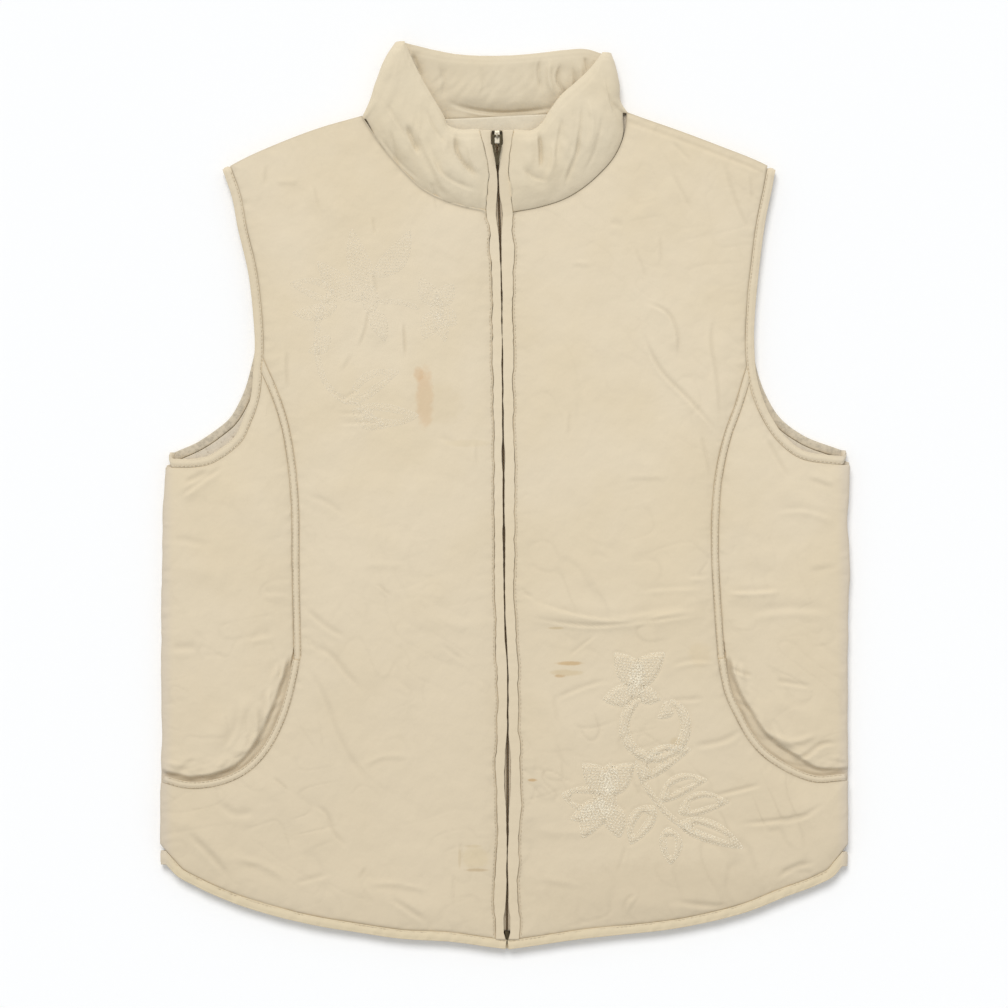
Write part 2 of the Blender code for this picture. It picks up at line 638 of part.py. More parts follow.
def add_neck_facing():
    """The strip of lining inside the back neck."""
    seam = offset_line(smooth_curve(BACK_NECK), -GAP)
    seam = seam[(seam[:, 0] > FACING_ENDS[0]) & (seam[:, 0] < FACING_ENDS[1])]
    outline = np.vstack([seam, smooth_curve(FACING_EDGE)[::-1]])
    add_panel("neck_facing", outline, level(FRONT_FLOOR + FACING_THICK), level(FRONT_FLOOR), LINING_CLOTH)


# ---------------------------------------------------------------- bands

def flat_run(line, height, flip=False):
    """Middles, inward directions and upward directions along a flat line."""
    ahead = np.gradient(line, axis=0)
    ahead /= np.linalg.norm(ahead, axis=1)[:, None]
    aside = to_the_left(ahead)
    middles = np.column_stack([line, np.full(len(line), height)])
    across = np.column_stack([aside, np.zeros(len(line))])
    through = np.tile((0.0, 0.0, -1.0 if flip else 1.0), (len(line), 1))
    return middles, across, through


def turn_under(front_end, back_end, ahead, aside):
    """The sections that carry an edge band round from the front to the back."""
    radius = (EDGE_BAND_HIGH - EDGE_BAND_LOW) / 2
    angles = np.radians(TURN_ANGLES)[:, None]
    up = np.array((0.0, 0.0, 1.0))
    ahead = np.array((*ahead, 0.0))
    through = np.sin(angles) * ahead + np.cos(angles) * up
    flat = front_end + ease(angles, 0, math.pi / 2) * (back_end - front_end)
    middle = np.column_stack([flat, np.full(len(flat), (EDGE_BAND_HIGH + EDGE_BAND_LOW) / 2)])
    return middle + radius * through, np.tile((*aside, 0.0), (len(angles), 1)), through


def along(line, at_end):
    """Direction of a line where it starts or ends, pointing off it."""
    step = line[-1] - line[-2] if at_end else line[0] - line[1]
    return step / np.linalg.norm(step)


def add_armhole_band(side, lines):
    """One bound ring: down the front armhole, under the arm and up the back one."""
    half = INWARD[side] * ARMHOLE_BAND_WIDTH / 2
    front = offset_line(lines["armhole"], half)
    back = offset_line(lines["back_armhole"], half)[::-1]
    parts = []
    for line, height, flip in ((front, EDGE_BAND_HIGH, False), (back, EDGE_BAND_LOW, True)):
        middles, across, through = flat_run(line, height, flip)
        across = across if not flip else -across
        parts.append((middles, across, through))
        ends = (back[-1], front[0])[::-1] if flip else (front[-1], back[0])
        turn = turn_under(*ends, along(line, True), across[-1][:2])
        parts.append([part[::-1] for part in turn] if flip else turn)
    joined = [np.vstack(columns) for columns in zip(*parts)]
    add_loft(f"armhole_band_{side}", joined[0], joined[1] * ARMHOLE_BAND_WIDTH,
             joined[2] * EDGE_BAND_WALL, BINDING_CLOTH, closed=True)


def add_hem_binding(halves):
    """One bound strip: from the zip out to one side, under, along the back and round again."""
    front = {side: offset_line(lines["hem"], lines["inward"] * HEM_WIDTH / 2)
             for side, lines in halves.items()}
    right_front = front[RIGHT][::-1]
    back_run = np.vstack([front[RIGHT], front[LEFT][::-1]])
    parts = [flat_run(right_front, EDGE_BAND_HIGH)]
    right_turn = turn_under(right_front[-1], front[RIGHT][0], along(right_front, True),
                            parts[0][1][-1][:2])
    middles, across, through = flat_run(back_run, EDGE_BAND_LOW, True)
    back_part = (middles, -across, through)
    left_front = flat_run(front[LEFT], EDGE_BAND_HIGH)
    left_turn = turn_under(front[LEFT][0], front[LEFT][0], along(front[LEFT], False),
                           left_front[1][0][:2])
    parts += [right_turn, back_part, [part[::-1] for part in left_turn], left_front]
    joined = [np.vstack(columns) for columns in zip(*parts)]
    add_loft("hem_binding", joined[0], joined[1] * HEM_WIDTH, joined[2] * EDGE_BAND_WALL, BINDING_CLOTH)


def add_seam_strip(side, lines):
    """The raised strip sewn on the curved front seam, cut off at the armhole band."""
    half = STRIP_WIDTH / 2
    rails = [inner_edge(lines, "strip", reach, before=20) for reach in (-half, half)]
    band = inner_edge(lines, "armhole", ARMHOLE_BAND_WIDTH + 3 * GAP)
    cuts = [crossing(rail, band) for rail in rails]
    first = max(cut[1] for cut in cuts) + 1
    trimmed = [np.vstack([cut[0], rail[first:]]) for rail, cut in zip(rails, cuts)]
    if short_start(trimmed):
        trimmed = [np.delete(rail, 1, axis=0) for rail in trimmed]
    add_rail_band(f"seam_strip_{side}", *trimmed, FRONT_FLOOR, FRONT_FLOOR + STRIP_TALL, BINDING_CLOTH)


def short_start(rails):
    """Whether either rail's first stretch is too short to hold a section."""
    return min(np.linalg.norm(rail[1] - rail[0]) for rail in rails) < 3.0


def add_pocket_band(side, lines):
    """The bound mouth of the pocket, on the centre front's edge."""
    half = POCKET_BAND_WIDTH / 2
    rails = [inner_edge(lines, "pocket", reach) for reach in (-half, half)]
    add_rail_band(f"pocket_band_{side}", *rails, POCKET_FLOOR, POCKET_FLOOR + POCKET_BAND_TALL,
                  BINDING_CLOTH)


def add_placket(side, front):
    """The folded facing that covers half of the zip."""
    y, middle, opening = front[:, 0], front[:, 1], front[:, 2]
    outer = np.column_stack([front[:, 3 if side == RIGHT else 4], y])
    inner = np.column_stack([middle + OUTWARD_X[side] * opening, y])
    floor = FRONT_FLOOR + zip_lift(y)
    add_rail_band(f"placket_{side}", outer, inner, floor + PLACKET_UNDER, floor + PLACKET_TOP, SHELL_CLOTH)


# ---------------------------------------------------------------- zip

def zip_rails(front, near, far, low_y, high_y):
    """Two rails beside the zip line between two heights, and the floor under them."""
    up = front[::-1]
    between = up[(up[:, 0] > low_y + 3) & (up[:, 0] < high_y - 3), 0]
    ys = np.concatenate([[low_y], between, [high_y]])
    x = np.interp(ys, up[:, 0], up[:, 1])
    return np.column_stack([x + near, ys]), np.column_stack([x + far, ys]), FRONT_FLOOR + zip_lift(ys)


def add_zip(front):
    """The zip's two tapes, its closed chain and the box at its foot."""
    for side in (RIGHT, LEFT):
        out = OUTWARD_X[side]
        near, far, floor = zip_rails(front, out * TAPE_INNER, out * TAPE_OUTER, ZIP_FOOT_Y, ZIP_TOP_Y)
        under = floor + TAPE_RISE
        add_rail_band(f"zip_tape_{side}", near, far, under, under + TAPE_THICK, TAPE_CLOTH)
    chain_top = SLIDER_Y - SLIDER_SIZE[1] / 2 - 1.0
    near, far, floor = zip_rails(front, -CHAIN_HALF, CHAIN_HALF, ZIP_BOX_Y + GAP, chain_top)
    add_rail_band("zip_chain", near, far, floor, floor + CHAIN_TALL, ZIP_METAL)
    near, far, floor = zip_rails(front, -BOX_HALF, BOX_HALF, ZIP_BOX_Y - BOX_LENGTH, ZIP_BOX_Y)
    add_rail_band("zip_box", near, far, floor, floor + BOX_TALL, ZIP_METAL)


def slider_base():
    """Height of the slider's lower plate, above the tapes that the collar lifts."""
    return FRONT_FLOOR + float(zip_lift(SLIDER_Y)) + SLIDER_RISE


def pivot_place():
    """Middle of the pull's pivot bar."""
    top = slider_base() + 2 * SLIDER_SIZE[2] + SLIDER_CHANNEL
    return (SLIDER_X, SLIDER_Y + PIVOT_AHEAD, top + PIVOT_RADIUS + PIVOT_RISE)


def box_mesh(size, place):
    """A box mesh of a given size with its middle at a place."""
    body = bmesh.new()
    bmesh.ops.create_cube(body, size=1.0)
    bmesh.ops.scale(body, vec=[MM * value for value in size], verts=body.verts)
    bmesh.ops.translate(body, vec=[MM * value for value in place], verts=body.verts)
    mesh = bpy.data.meshes.new("block")
    body.to_mesh(mesh)
    body.free()
    return mesh


def add_slider():
    """The slider: two plates joined by a wedge, with an arch for the pull."""
    wide, long, thick = SLIDER_SIZE
    base = slider_base()
    x, y, pivot_z = pivot_place()
    tall = 2 * thick + SLIDER_CHANNEL
    block = box_mesh((wide, long, tall), (x, SLIDER_Y, base + tall / 2))
    slider = add_object("zip_slider", block, ZIP_METAL)
    rounded = slider.modifiers.new("rounded", "BEVEL")
    rounded.width, rounded.segments = 0.8 * MM, 2
    for out in (-1, 1):
        place = (x + out * (SLIDER_WEDGE + wide / 4), SLIDER_Y, base + tall / 2)
        channel = box_mesh((wide / 2, long + 4, SLIDER_CHANNEL), place)
        cut_with(slider, bpy.data.objects.new(f"channel_{out}", channel), "DIFFERENCE")
    arch = bpy.data.curves.new("arch", "CURVE")
    arch.dimensions = "3D"
    arch.bevel_depth, arch.bevel_resolution, arch.use_fill_caps = BAIL_WIRE * MM, 2, True
    spline = arch.splines.new("POLY")
    turn = np.linspace(0, math.pi, 9)
    root = base + tall - BAIL_ROOT
    route = [(x, y - BAIL_RADIUS, root)]
    route += [(x, y - BAIL_RADIUS * math.cos(a), pivot_z + BAIL_RADIUS * math.sin(a)) for a in turn]
    route.append((x, y + BAIL_RADIUS, root))
    spline.points.add(len(route) - 1)
    for point, place in zip(spline.points, route):
        point.co = (*[MM * value for value in place], 1.0)
    arch_object = bpy.data.objects.new("arch", arch)
    cutters.objects.link(arch_object)
    cut_with(slider, mesh_copy(arch_object), "UNION")


def mesh_copy(curve_object):
    """The curve object as a mesh object with its caps welded; the curve is removed."""
    bpy.context.view_layer.update()
    evaluated = curve_object.evaluated_get(bpy.context.evaluated_depsgraph_get())
    mesh = bpy.data.meshes.new_from_object(evaluated)
    body = bmesh.new()
    body.from_mesh(mesh)
    bmesh.ops.remove_doubles(body, verts=body.verts, dist=0.00001)
    bmesh.ops.recalc_face_normals(body, faces=body.faces)
    body.to_mesh(mesh)
    body.free()
    made = bpy.data.objects.new(curve_object.name + "_solid", mesh)
    made.matrix_world = curve_object.matrix_world
    bpy.data.objects.remove(curve_object)
    return made


def cut_with(target, cutter, operation):
    """Applies a cutter, which stays hidden in the cutters' collection."""
    cutters.objects.link(cutter)
    cutter.hide_render, cutter.display_type = True, "WIRE"
    boolean = target.modifiers.new(cutter.name, "BOOLEAN")
    boolean.operation, boolean.object, boolean.solver = operation, cutter, "EXACT"


def add_pull():
    """The pull: a long eye on a pivot bar, narrowing to a tip that lies towards the hem."""
    half, eye = PULL_WIDTH / 2, EYE_WIDTH / 2
    outer = [(half, PIVOT_RADIUS), (half, PULL_SHOULDER), PULL_NECK, (PULL_TIP, -PULL_LENGTH)]
    outer = [(-x, y) for x, y in outer] + outer[::-1]
    hole = [(-eye, -PIVOT_RADIUS), (-eye, PULL_SHOULDER), (0.0, EYE_FOOT),
            (eye, PULL_SHOULDER), (eye, -PIVOT_RADIUS)]
    flat = bpy.data.curves.new("pull_outline", "CURVE")
    flat.dimensions, flat.fill_mode, flat.extrude = "2D", "BOTH", PULL_THICK / 2 * MM
    for loop in (outer, hole):
        spline = flat.splines.new("POLY")
        spline.points.add(len(loop) - 1)
        spline.use_cyclic_u = True
        for point, (x, y) in zip(spline.points, loop):
            point.co = (x * MM, y * MM, 0.0, 1.0)
    outline_object = bpy.data.objects.new("pull_outline", flat)
    cutters.objects.link(outline_object)
    plate = mesh_copy(outline_object)
    add_object("zip_pull", plate.data, ZIP_METAL, pivot_place())
    bpy.data.objects.remove(plate)


# ---------------------------------------------------------------- collar

def crease_depth(creases, place, share):
    """How deep the creases press in at a place along the collar, up its height."""
    depth = np.zeros(len(share))
    for start, lean, deepest, half in creases:
        depth += deepest * np.exp(-((place - start - lean * share) / half) ** 2)
    return depth * np.sin(math.pi * share)


def collar_turn(side):
    """The collar folding under at one side, from the front leaf to the back."""
    share, wall, high, low = COLLAR_ROWS.T
    edge = read_line(smooth_curve(FOLD_EDGE[side], 3.0), share)
    radius = (high - low) / 2
    sections = []
    for angle in np.radians(TURN_ANGLES):
        outward = np.array((OUTWARD_X[side] * math.sin(angle), 0.0, math.cos(angle)))
        middle = np.column_stack([edge, (high + low) / 2])
        middle[:, 0] -= OUTWARD_X[side] * (radius + wall / 2)
        sections.append((middle + radius[:, None] * outward, outward, wall))
    return sections


def collar_leaf(side, front):
    """The leaf on one side of the zip, from the zip out to the fold."""
    share, wall, high, low = COLLAR_ROWS.T
    bottom = smooth_curve(NECK[side], NECK_STEP)
    inset = (high[0] - low[0]) / 2 + wall[0] / 2
    bottom[-1] = np.array(FOLD_EDGE[side][0]) - (OUTWARD_X[side] * inset, 0)
    bottom = np.vstack([bottom[:1], bottom[:1] + (bottom[1] - bottom[0]) * 0.5, bottom[1:]])
    top_line = smooth_curve(LEAF_TOP[side], 3.0)
    travelled = np.concatenate([[0], np.cumsum(np.linalg.norm(np.diff(bottom, axis=0), axis=1))])
    top = read_line(top_line, travelled / travelled[-1])
    groove_column = 3 if side == RIGHT else 4
    sections = []
    for i, (low_point, high_point) in enumerate(zip(bottom, top)):
        flat = low_point + share[:, None] * (high_point - low_point)
        if i == 0:
            last = len(share) - 1
            flat[:, 1] = front[last::-1, 0]
            flat[:, 0] = front[last::-1, groove_column] + OUTWARD_X[side] * GAP
        pressed = crease_depth(LEAF_CREASES[side], i / (len(bottom) - 1), share)
        thick = wall * (COLLAR_EDGE_WALL if i == 0 else 1.0) - pressed
        sections.append((np.column_stack([flat, high - pressed / 2]), np.array((0.0, 0.0, 1.0)), thick))
    return sections


def collar_back():
    """The back of the collar, its outer face down on the table, from right to left."""
    share, wall, high, low = COLLAR_ROWS.T
    inset = (high[0] - low[0]) / 2 + wall[0] / 2
    bottom = smooth_curve(BACK_NECK)
    shares = np.linspace(0, 1, int(line_length(bottom) / NECK_STEP))
    bottom = read_line(bottom, shares)
    bottom[0, 0] += inset
    bottom[-1, 0] -= inset
    top = read_line(smooth_curve(BACK_COLLAR_TOP, 4.0), shares)
    sections = []
    for place, b, t in zip(shares, bottom, top):
        pressed = crease_depth(BACK_CREASES, place, share)
        middle = np.column_stack([b + share[:, None] * (t - b), low - pressed / 2])
        sections.append((middle, np.array((0.0, 0.0, -1.0)), wall - pressed))
    return sections


def add_collar(front):
    """One padded stand: leaf, fold, back, fold, leaf."""
    sections = collar_leaf(RIGHT, front) + collar_turn(RIGHT) + collar_back()
    sections += collar_turn(LEFT)[::-1] + collar_leaf(LEFT, front)[::-1]
    rings = []
    for middle, outward, wall in sections:
        half = wall[:, None] / 2 * outward
        rings.append(np.vstack([middle + half, (middle - half)[::-1]]))
    count, rows = len(rings), len(COLLAR_ROWS)
    sides = 2 * rows
    faces = [[i * sides + j, i * sides + (j + 1) % sides,
              (i + 1) * sides + (j + 1) % sides, (i + 1) * sides + j]
             for i in range(count - 1) for j in range(sides)]
    for start in (0, (count - 1) * sides):
        faces += [[start + j, start + j + 1, start + sides - 2 - j, start + sides - 1 - j]
                  for j in range(rows - 1)]
    add_faces("collar", np.vstack(rings), faces, SHELL_CLOTH)


# ---------------------------------------------------------------- garment

for old in list(bpy.data.objects):
    bpy.data.objects.remove(old)
garment = bpy.data.collections.new("embroidered_waistcoat")
cutters = bpy.data.collections.new("cutters")
bpy.context.scene.collection.children.link(garment)
bpy.context.scene.collection.children.link(cutters)

centre_front = np.array(CENTRE_FRONT)
seams = {side: seam_lines(side) for side in (RIGHT, LEFT)}
add_back(seams)
add_neck_facing()
for half_side, half_lines in seams.items():
    add_front(half_side, half_lines)
    add_side(half_side, half_lines)
    add_armhole_band(half_side, half_lines)
    add_seam_strip(half_side, half_lines)
    add_pocket_band(half_side, half_lines)
    add_placket(half_side, centre_front)
add_hem_binding(seams)
add_collar(centre_front)
add_zip(centre_front)
add_slider()
add_pull()
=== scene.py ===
"""Looks of an embroidered, padded zip-up waistcoat that lies flat on a table, front up.

Lengths are in millimetres until a mesh is made. +X is the wearer's left, +Y runs from
hem to collar and +Z is up off the table, which is at Z = 0. The wearer's right half is
at -X. Each cloth piece follows its solid's seams and levels and adds the puff of its
wadding, its creases, its stitches and its embroidery.
"""
from __future__ import annotations

import logging
import math
from dataclasses import dataclass, field
from enum import Enum
from typing import Callable, Sequence, TypeVar

import bpy
import numpy as np
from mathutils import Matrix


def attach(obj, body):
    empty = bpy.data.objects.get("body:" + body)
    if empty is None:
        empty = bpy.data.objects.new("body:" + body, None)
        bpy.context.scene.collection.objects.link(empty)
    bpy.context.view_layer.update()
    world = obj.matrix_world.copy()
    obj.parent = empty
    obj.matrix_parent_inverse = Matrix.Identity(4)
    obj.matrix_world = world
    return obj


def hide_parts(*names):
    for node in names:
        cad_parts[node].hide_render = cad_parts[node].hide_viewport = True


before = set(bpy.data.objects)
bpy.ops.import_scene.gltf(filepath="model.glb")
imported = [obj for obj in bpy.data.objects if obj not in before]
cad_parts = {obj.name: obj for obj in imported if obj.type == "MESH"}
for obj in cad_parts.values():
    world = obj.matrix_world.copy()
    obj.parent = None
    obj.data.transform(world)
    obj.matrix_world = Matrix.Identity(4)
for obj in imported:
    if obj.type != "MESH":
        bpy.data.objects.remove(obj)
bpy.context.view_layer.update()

LOG = logging.getLogger("waistcoat")
Array = np.ndarray
Pair = tuple[float, float]
Four = tuple[Array, Array, Array, Array]
Colour = tuple[int, int, int]     # red, green and blue, 0 to 255
Choice = TypeVar("Choice")

MM = 0.001                # metres in a millimetre
GAP = 0.3                 # clearance between two pieces
CHUNK = 4096              # points measured against a line at one time
CLOTH_BODY = "waistcoat"
UP, DOWN = (0.0, 0.0, 1.0), (0.0, 0.0, -1.0)


# ---- sizes of the garment

class Side(Enum):
    """A half of the garment, named as its wearer would."""

    RIGHT = "right"
    LEFT = "left"

    @property
    def out(self) -> int:
        """Sign of X away from the zip."""
        return self.pick(-1, 1)

    def pick(self, right: Choice, left: Choice) -> Choice:
        """The one of two values that is for this half."""
        return right if self is Side.RIGHT else left


@dataclass(frozen=True)
class Levels:
    """Heights above the table, and how the wadding rises between its seams."""

    back_top: float = 5.0
    floor: float = 5.3            # underside of the fronts
    bag: float = 1.7              # thickness of the flat pocket bag
    pocket_floor: float = 7.6     # underside of a front over the bag
    seam: float = 4.2             # wadding left at a seam
    full: float = 6.0             # wadding away from the seams
    reach: float = 8.0            # how far in from a seam it takes to rise
    rim: float = 2.6              # height of the back's rim
    rim_reach: float = 8.0
    zip_lift: float = 6.5         # the collar lifts the zip by this
    lap_rise: float = 1.8         # a front's rise over the pocket bag
    band_high: float = 7.9        # middle of the armhole and hem bands in front
    band_low: float = 2.45        # middle of them behind
    band_wall: float = 4.1
    facing: float = 1.0
    strip: float = 5.1
    pocket_band: float = 4.0
    placket: Pair = (2.5, 5.1)    # above the fronts' floor

    def lift(self, y: Array) -> Array:
        """How far the collar lifts the zip at a height up the front."""
        return self.zip_lift * ease(y, 206.0, 256.0)


@dataclass(frozen=True)
class Widths:
    """Widths of the narrow pieces and reaches of the pocket."""

    strip: float = 5.2
    pocket_band: float = 5.2
    armhole_band: float = 6.5
    hem: float = 7.0
    bag: float = 24.0
    lap: Pair = (30.0, 38.0)
    mouth_margin: float = 1.0
    tape: Pair = (2.9, 6.2)


LEVEL, WIDTH = Levels(), Widths()
NECK_STEP = 1.25

# Outlines. Columns: x, y. Each runs from the top down or from the side to the zip.
SHOULDER = {
    Side.RIGHT: ((-107.5, 285.5), (-139, 276.5), (-169, 265.3), (-199, 251.8), (-213, 244)),
    Side.LEFT: ((91.5, 288.3), (101, 284.8), (131, 274.3), (161, 263), (191, 251), (205, 244)),
}
ARMHOLE = {
    Side.RIGHT: (
        (-210.8, 242), (-205.5, 227), (-200.2, 200), (-192.8, 168.5), (-189.3, 140), (-187.9, 110),
        (-188.8, 96.5), (-191.5, 72.5), (-197, 57.5), (-203, 45), (-213, 36.5), (-223.5, 30.5),
        (-235.5, 28.5), (-249, 28.5)),
    Side.LEFT: (
        (202.4, 241.5), (200.7, 232), (195.8, 208.5), (191.2, 174.5), (187.9, 141.5), (187.2, 108.5),
        (189, 90), (198, 63.5), (210, 45.5), (223.5, 35), (241, 31.5), (253, 30.5)),
}
BACK_ARMHOLE = {
    Side.RIGHT: (
        (-210.8, 242), (-204, 224), (-198.5, 200), (-191, 168.5), (-188, 140), (-188, 111), (-191, 96.5),
        (-199, 72.5), (-207.5, 58.5), (-217, 50.5), (-229.5, 42), (-249, 33)),
    Side.LEFT: (
        (202.4, 241.5), (199.5, 229), (194, 208.5), (189.5, 174.5), (186.9, 141.5), (187.8, 102),
        (196, 76.5), (207, 59), (223.5, 46.5), (253, 35)),
}
SIDE_SEAM = {
    Side.RIGHT: (
        (-253.5, 45), (-255, 14), (-256, -7), (-257.4, -60), (-257.8, -143.5), (-257.2, -185.5),
        (-258.4, -227.5), (-258.4, -285)),
    Side.LEFT: (
        (257, 45), (258.5, 14), (257, -17.5), (258.5, -49), (257, -100), (257, -206.5), (257, -259),
        (257, -285)),
}
HEM = {
    Side.RIGHT: (
        (-253.5, -277), (-247, -284), (-232, -292.5), (-205.5, -304.3), (-176, -313.7), (-144, -321.5),
        (-111, -327), (-79, -331.7), (-41, -333.9), (-9, -338.3), (0.4, -339.4)),
    Side.LEFT: (
        (252.5, -278), (247, -284.5), (236, -290.5), (208.5, -301), (182, -311.5), (142.5, -321.5),
        (52.5, -332.5), (12.4, -338.5), (2.8, -339.8)),
}
STRIP = {
    Side.RIGHT: (
        (-181, 96), (-175, 82.5), (-169, 66.5), (-165, 52.5), (-160, 23), (-158, 1.5), (-157, -52.5),
        (-155.5, -120)),
    Side.LEFT: (
        (181, 87.5), (175, 67.5), (167.5, 47), (163.5, 31.5), (160, 12.5), (158, -12), (157.5, -39),
        (159, -75), (162, -119)),
}
POCKET = {
    Side.RIGHT: (
        (-156.5, -122.5), (-159.5, -137.5), (-163.5, -154), (-170, -172), (-180, -190), (-194, -204.5),
        (-208.5, -212), (-226.5, -216), (-240, -216), (-253.5, -212.5)),
    Side.LEFT: (
        (162.5, -121.5), (164.5, -134), (168, -148.5), (175.5, -164.5), (184, -180), (196, -193.5),
        (207, -201), (219.5, -207.5), (232, -211.5), (253, -210.5)),
}
NECK = {
    Side.RIGHT: ((-13.5, 213.5), (-37.5, 219), (-59, 228.5), (-80, 248), (-94.5, 265.5), (-107, 284)),
    Side.LEFT: ((6.5, 213.5), (27, 217.5), (46, 224), (69, 240.5), (83, 257), (90, 276), (91, 288.5)),
}
BACK_NECK = ((-107, 284), (-44, 284), (31.5, 287.5), (91, 288.5))
FACING_EDGE = ((-98, 279), (-72, 264), (-40, 252), (-8, 248.5), (30, 252), (62, 264), (84, 283))

# How far the pocket's mouth stands open. Rows: share of its length, width.
GAPE = {
    Side.RIGHT: ((0, 0.15, 0.35, 0.5, 0.65, 0.85, 1), (0.6, 2.6, 4.2, 3.4, 1.4, 0.9, 0.6)),
    Side.LEFT: ((0, 0.15, 0.35, 0.55, 0.72, 0.85, 1), (0.6, 2.4, 4.4, 6.2, 6.4, 3.0, 1.0)),
}

# Centre front. Columns: y, zip x, half the solids' opening (it only paces the curve
# here), right groove x, left groove x.
CENTRE_FRONT = np.array((
    (274.5, -6, 5, -18, 7), (269.6, -6, 5, -17, 6.3), (261.1, -5.9, 4.7, -15.1, 4.9),
    (250.1, -5.7, 3.6, -13.5, 3.4), (239.1, -5.3, 1.4, -12.6, 3.2), (228.7, -4.9, 1.2, -12.6, 4.5),
    (219.6, -4.6, 1.9, -13.4, 5.8), (213.5, -4.4, 2.8, -13.6, 6.5), (200, -3.8, 2.4, -11.8, 5.8),
    (186, -3.4, 1.1, -12, 6.5), (168, -2.8, 1, -9.8, 5.6), (120, -2.2, 1, -9.3, 5.9),
    (60, -1.6, 1, -8.6, 6.4), (0, -1, 1, -8, 7), (-60, -0.5, 1, -7.4, 6.8), (-95, 0, 1, -6.9, 7),
    (-133, 2, 1, -6, 10), (-165, 2, 1.2, -5.2, 10), (-195, 2, 1.6, -7, 11.5), (-230, 2, 1.8, -6, 12),
    (-260, 1.9, 1.2, -6, 10.6), (-290, 1.6, 1.3, -7.5, 9.6), (-310, 1.5, 2.2, -7.9, 10.8),
    (-326, 1.5, 2.1, -7.5, 10.9), (-339.6, 1.5, 1, -7, 10.5)))
# How far each placket's edge lies from the zip's middle. Columns: y, distance.
OPENING = np.array((
    (276, 4.5), (264, 4.4), (261.5, 1.6), (259.5, 0.7), (256.5, 0.7), (254, 1.4), (249, 1.5),
    (243, 0.75), (236, 0.6), (229, 0.7), (223, 1.3), (217, 2.2), (211, 2.5), (203, 1.6), (196, 0.8),
    (180, 0.6), (165, 0.4), (150, 0.55), (146, 0.2), (136, 0.2), (131, 0.5), (126, 0.25), (90, 0.45),
    (50, 0.5), (40, 0.7), (34, 1.3), (26, 1.3), (18, 0.7), (0, 0.5), (-20, 0.6), (-30, 1), (-45, 0.7),
    (-60, 0.45), (-120, 0.5), (-160, 0.55), (-180, 0.6), (-190, 1.8), (-205, 2.4), (-222, 2.2),
    (-234, 1.3), (-245, 0.7), (-260, 0.5), (-285, 0.5), (-300, 0.9), (-308, 1.2), (-316, 2.2),
    (-327, 2.5), (-332, 1.2), (-336, 0.6), (-339.6, 0.6)))
ZIP_BOX_Y, SLIDER_Y = -326.0, 269.0
PLACKET_FOOT = -332.3      # the hem's binding covers the plackets below this

# Collar. Columns: share of its height, wall, middle of the front leaf, of the back.
COLLAR_ROWS = np.array((
    (0, 2.4, 7.9, 2.6), (0.1, 4.7, 9.9, 2.7), (0.25, 6.3, 12.2, 3.2), (0.42, 6.9, 13.7, 3.5),
    (0.6, 7, 14.4, 3.5), (0.78, 6.8, 14.7, 3.4), (0.92, 5.6, 14.5, 3), (1, 3.4, 13.7, 2.6)))
LEAF_TOP = {
    Side.RIGHT: (
        (-18.3, 274.5), (-36, 274.3), (-42.5, 277), (-46, 284), (-52, 294), (-61.5, 310), (-68, 322),
        (-75.7, 339.6)),
    Side.LEFT: (
        (7.3, 274.5), (21, 273.6), (27, 278), (33, 287), (43, 300), (55, 310.5), (66, 321.5),
        (72.9, 331.3)),
}
FOLD_EDGE = {
    Side.RIGHT: ((-108.2, 283.2), (-102, 296), (-97, 310.5), (-93, 321.5), (-88, 332), (-83, 339.8)),
    Side.LEFT: ((92.3, 287.9), (86.3, 298), (85.6, 309), (84.2, 320), (80.2, 331.6)),
}
BACK_COLLAR_TOP = (
    (-75.7, 339.8), (-66, 337.3), (-37.5, 331.5), (-6, 330), (20, 331.5), (46, 334.3), (64, 335.2),
    (72.9, 333))
COLLAR_EDGE_WALL = 0.55   # share of the wall left where the collar meets the zip

# Soft folds that the solids have too. Columns: x and y at each end, height, half width.
FOLDS = (
    (8, -87, 108, -93, 1.7, 9), (108, -93, 150, -85, 1.2, 8), (164, -74, 206, -74, 1, 7),
    (101, 125, 158, 46, 0.9, 8), (158, 125, 163, 60, 0.8, 7), (109, 148, 131, 110, 0.8, 8),
    (-97, 208, -97, 110, 0.8, 8), (-75, 133, -75, 60, 0.7, 8), (-248, -238, -202, -280, 1.1, 8),
    (-180, -214, -131, -265, 1, 9), (-124, -288, -49, -316, 1, 8), (82, -302, 146, -312, 1, 8),
    (221, -225, 246, -275, 1.1, 8), (-216, 18, -244, -2, 0.9, 7), (196, -150, 240, -168, 0.9, 8),
    (-188, -150, -225, -188, 1, 8), (-205, -60, -250, -48, 0.7, 9), (-200, 8, -172, -30, 0.7, 8),
    (205, 10, 246, -22, 0.8, 8), (178, -40, 214, -52, 0.6, 8), (20, -150, 70, -190, 0.7, 9),
    (-120, -20, -60, -45, 0.6, 9), (130, 235, 95, 205, 0.8, 8), (-150, 232, -118, 205, 0.7, 8))


@dataclass(frozen=True)
class Crease:
    """A fine crease in cloth: height (below 0 for a pinched trough), half width, and its line."""

    height: float
    half: float
    line: tuple[Pair, ...]

    def relief(self, points: Array) -> Array:
        """Height that the crease adds at each point.

        A bell across the line, exp(-(d / half)^2), with a shallow opposite bell on the
        line's right, where d is the distance to it. Both fade out towards its two ends.

        Args:
            points: x and y of each point.
        """
        total = np.zeros(len(points))
        line = smooth_curve(self.line, 3.0)
        reach = 4.0 * self.half + 1
        near = np.all((points > line.min(axis=0) - reach) & (points < line.max(axis=0) + reach), axis=1)
        if not near.any():
            return total
        away, along, side = nearest(points[near], line)
        share = along / line_length(line)
        taper = ease(share, 0.0, 0.3) * ease(1 - share, 0.0, 0.3)
        t = side * away / self.half
        total[near] = self.height * taper * (np.exp(-t * t) - 0.55 * np.exp(-((t + 1.6) / 1.2) ** 2))
        return total


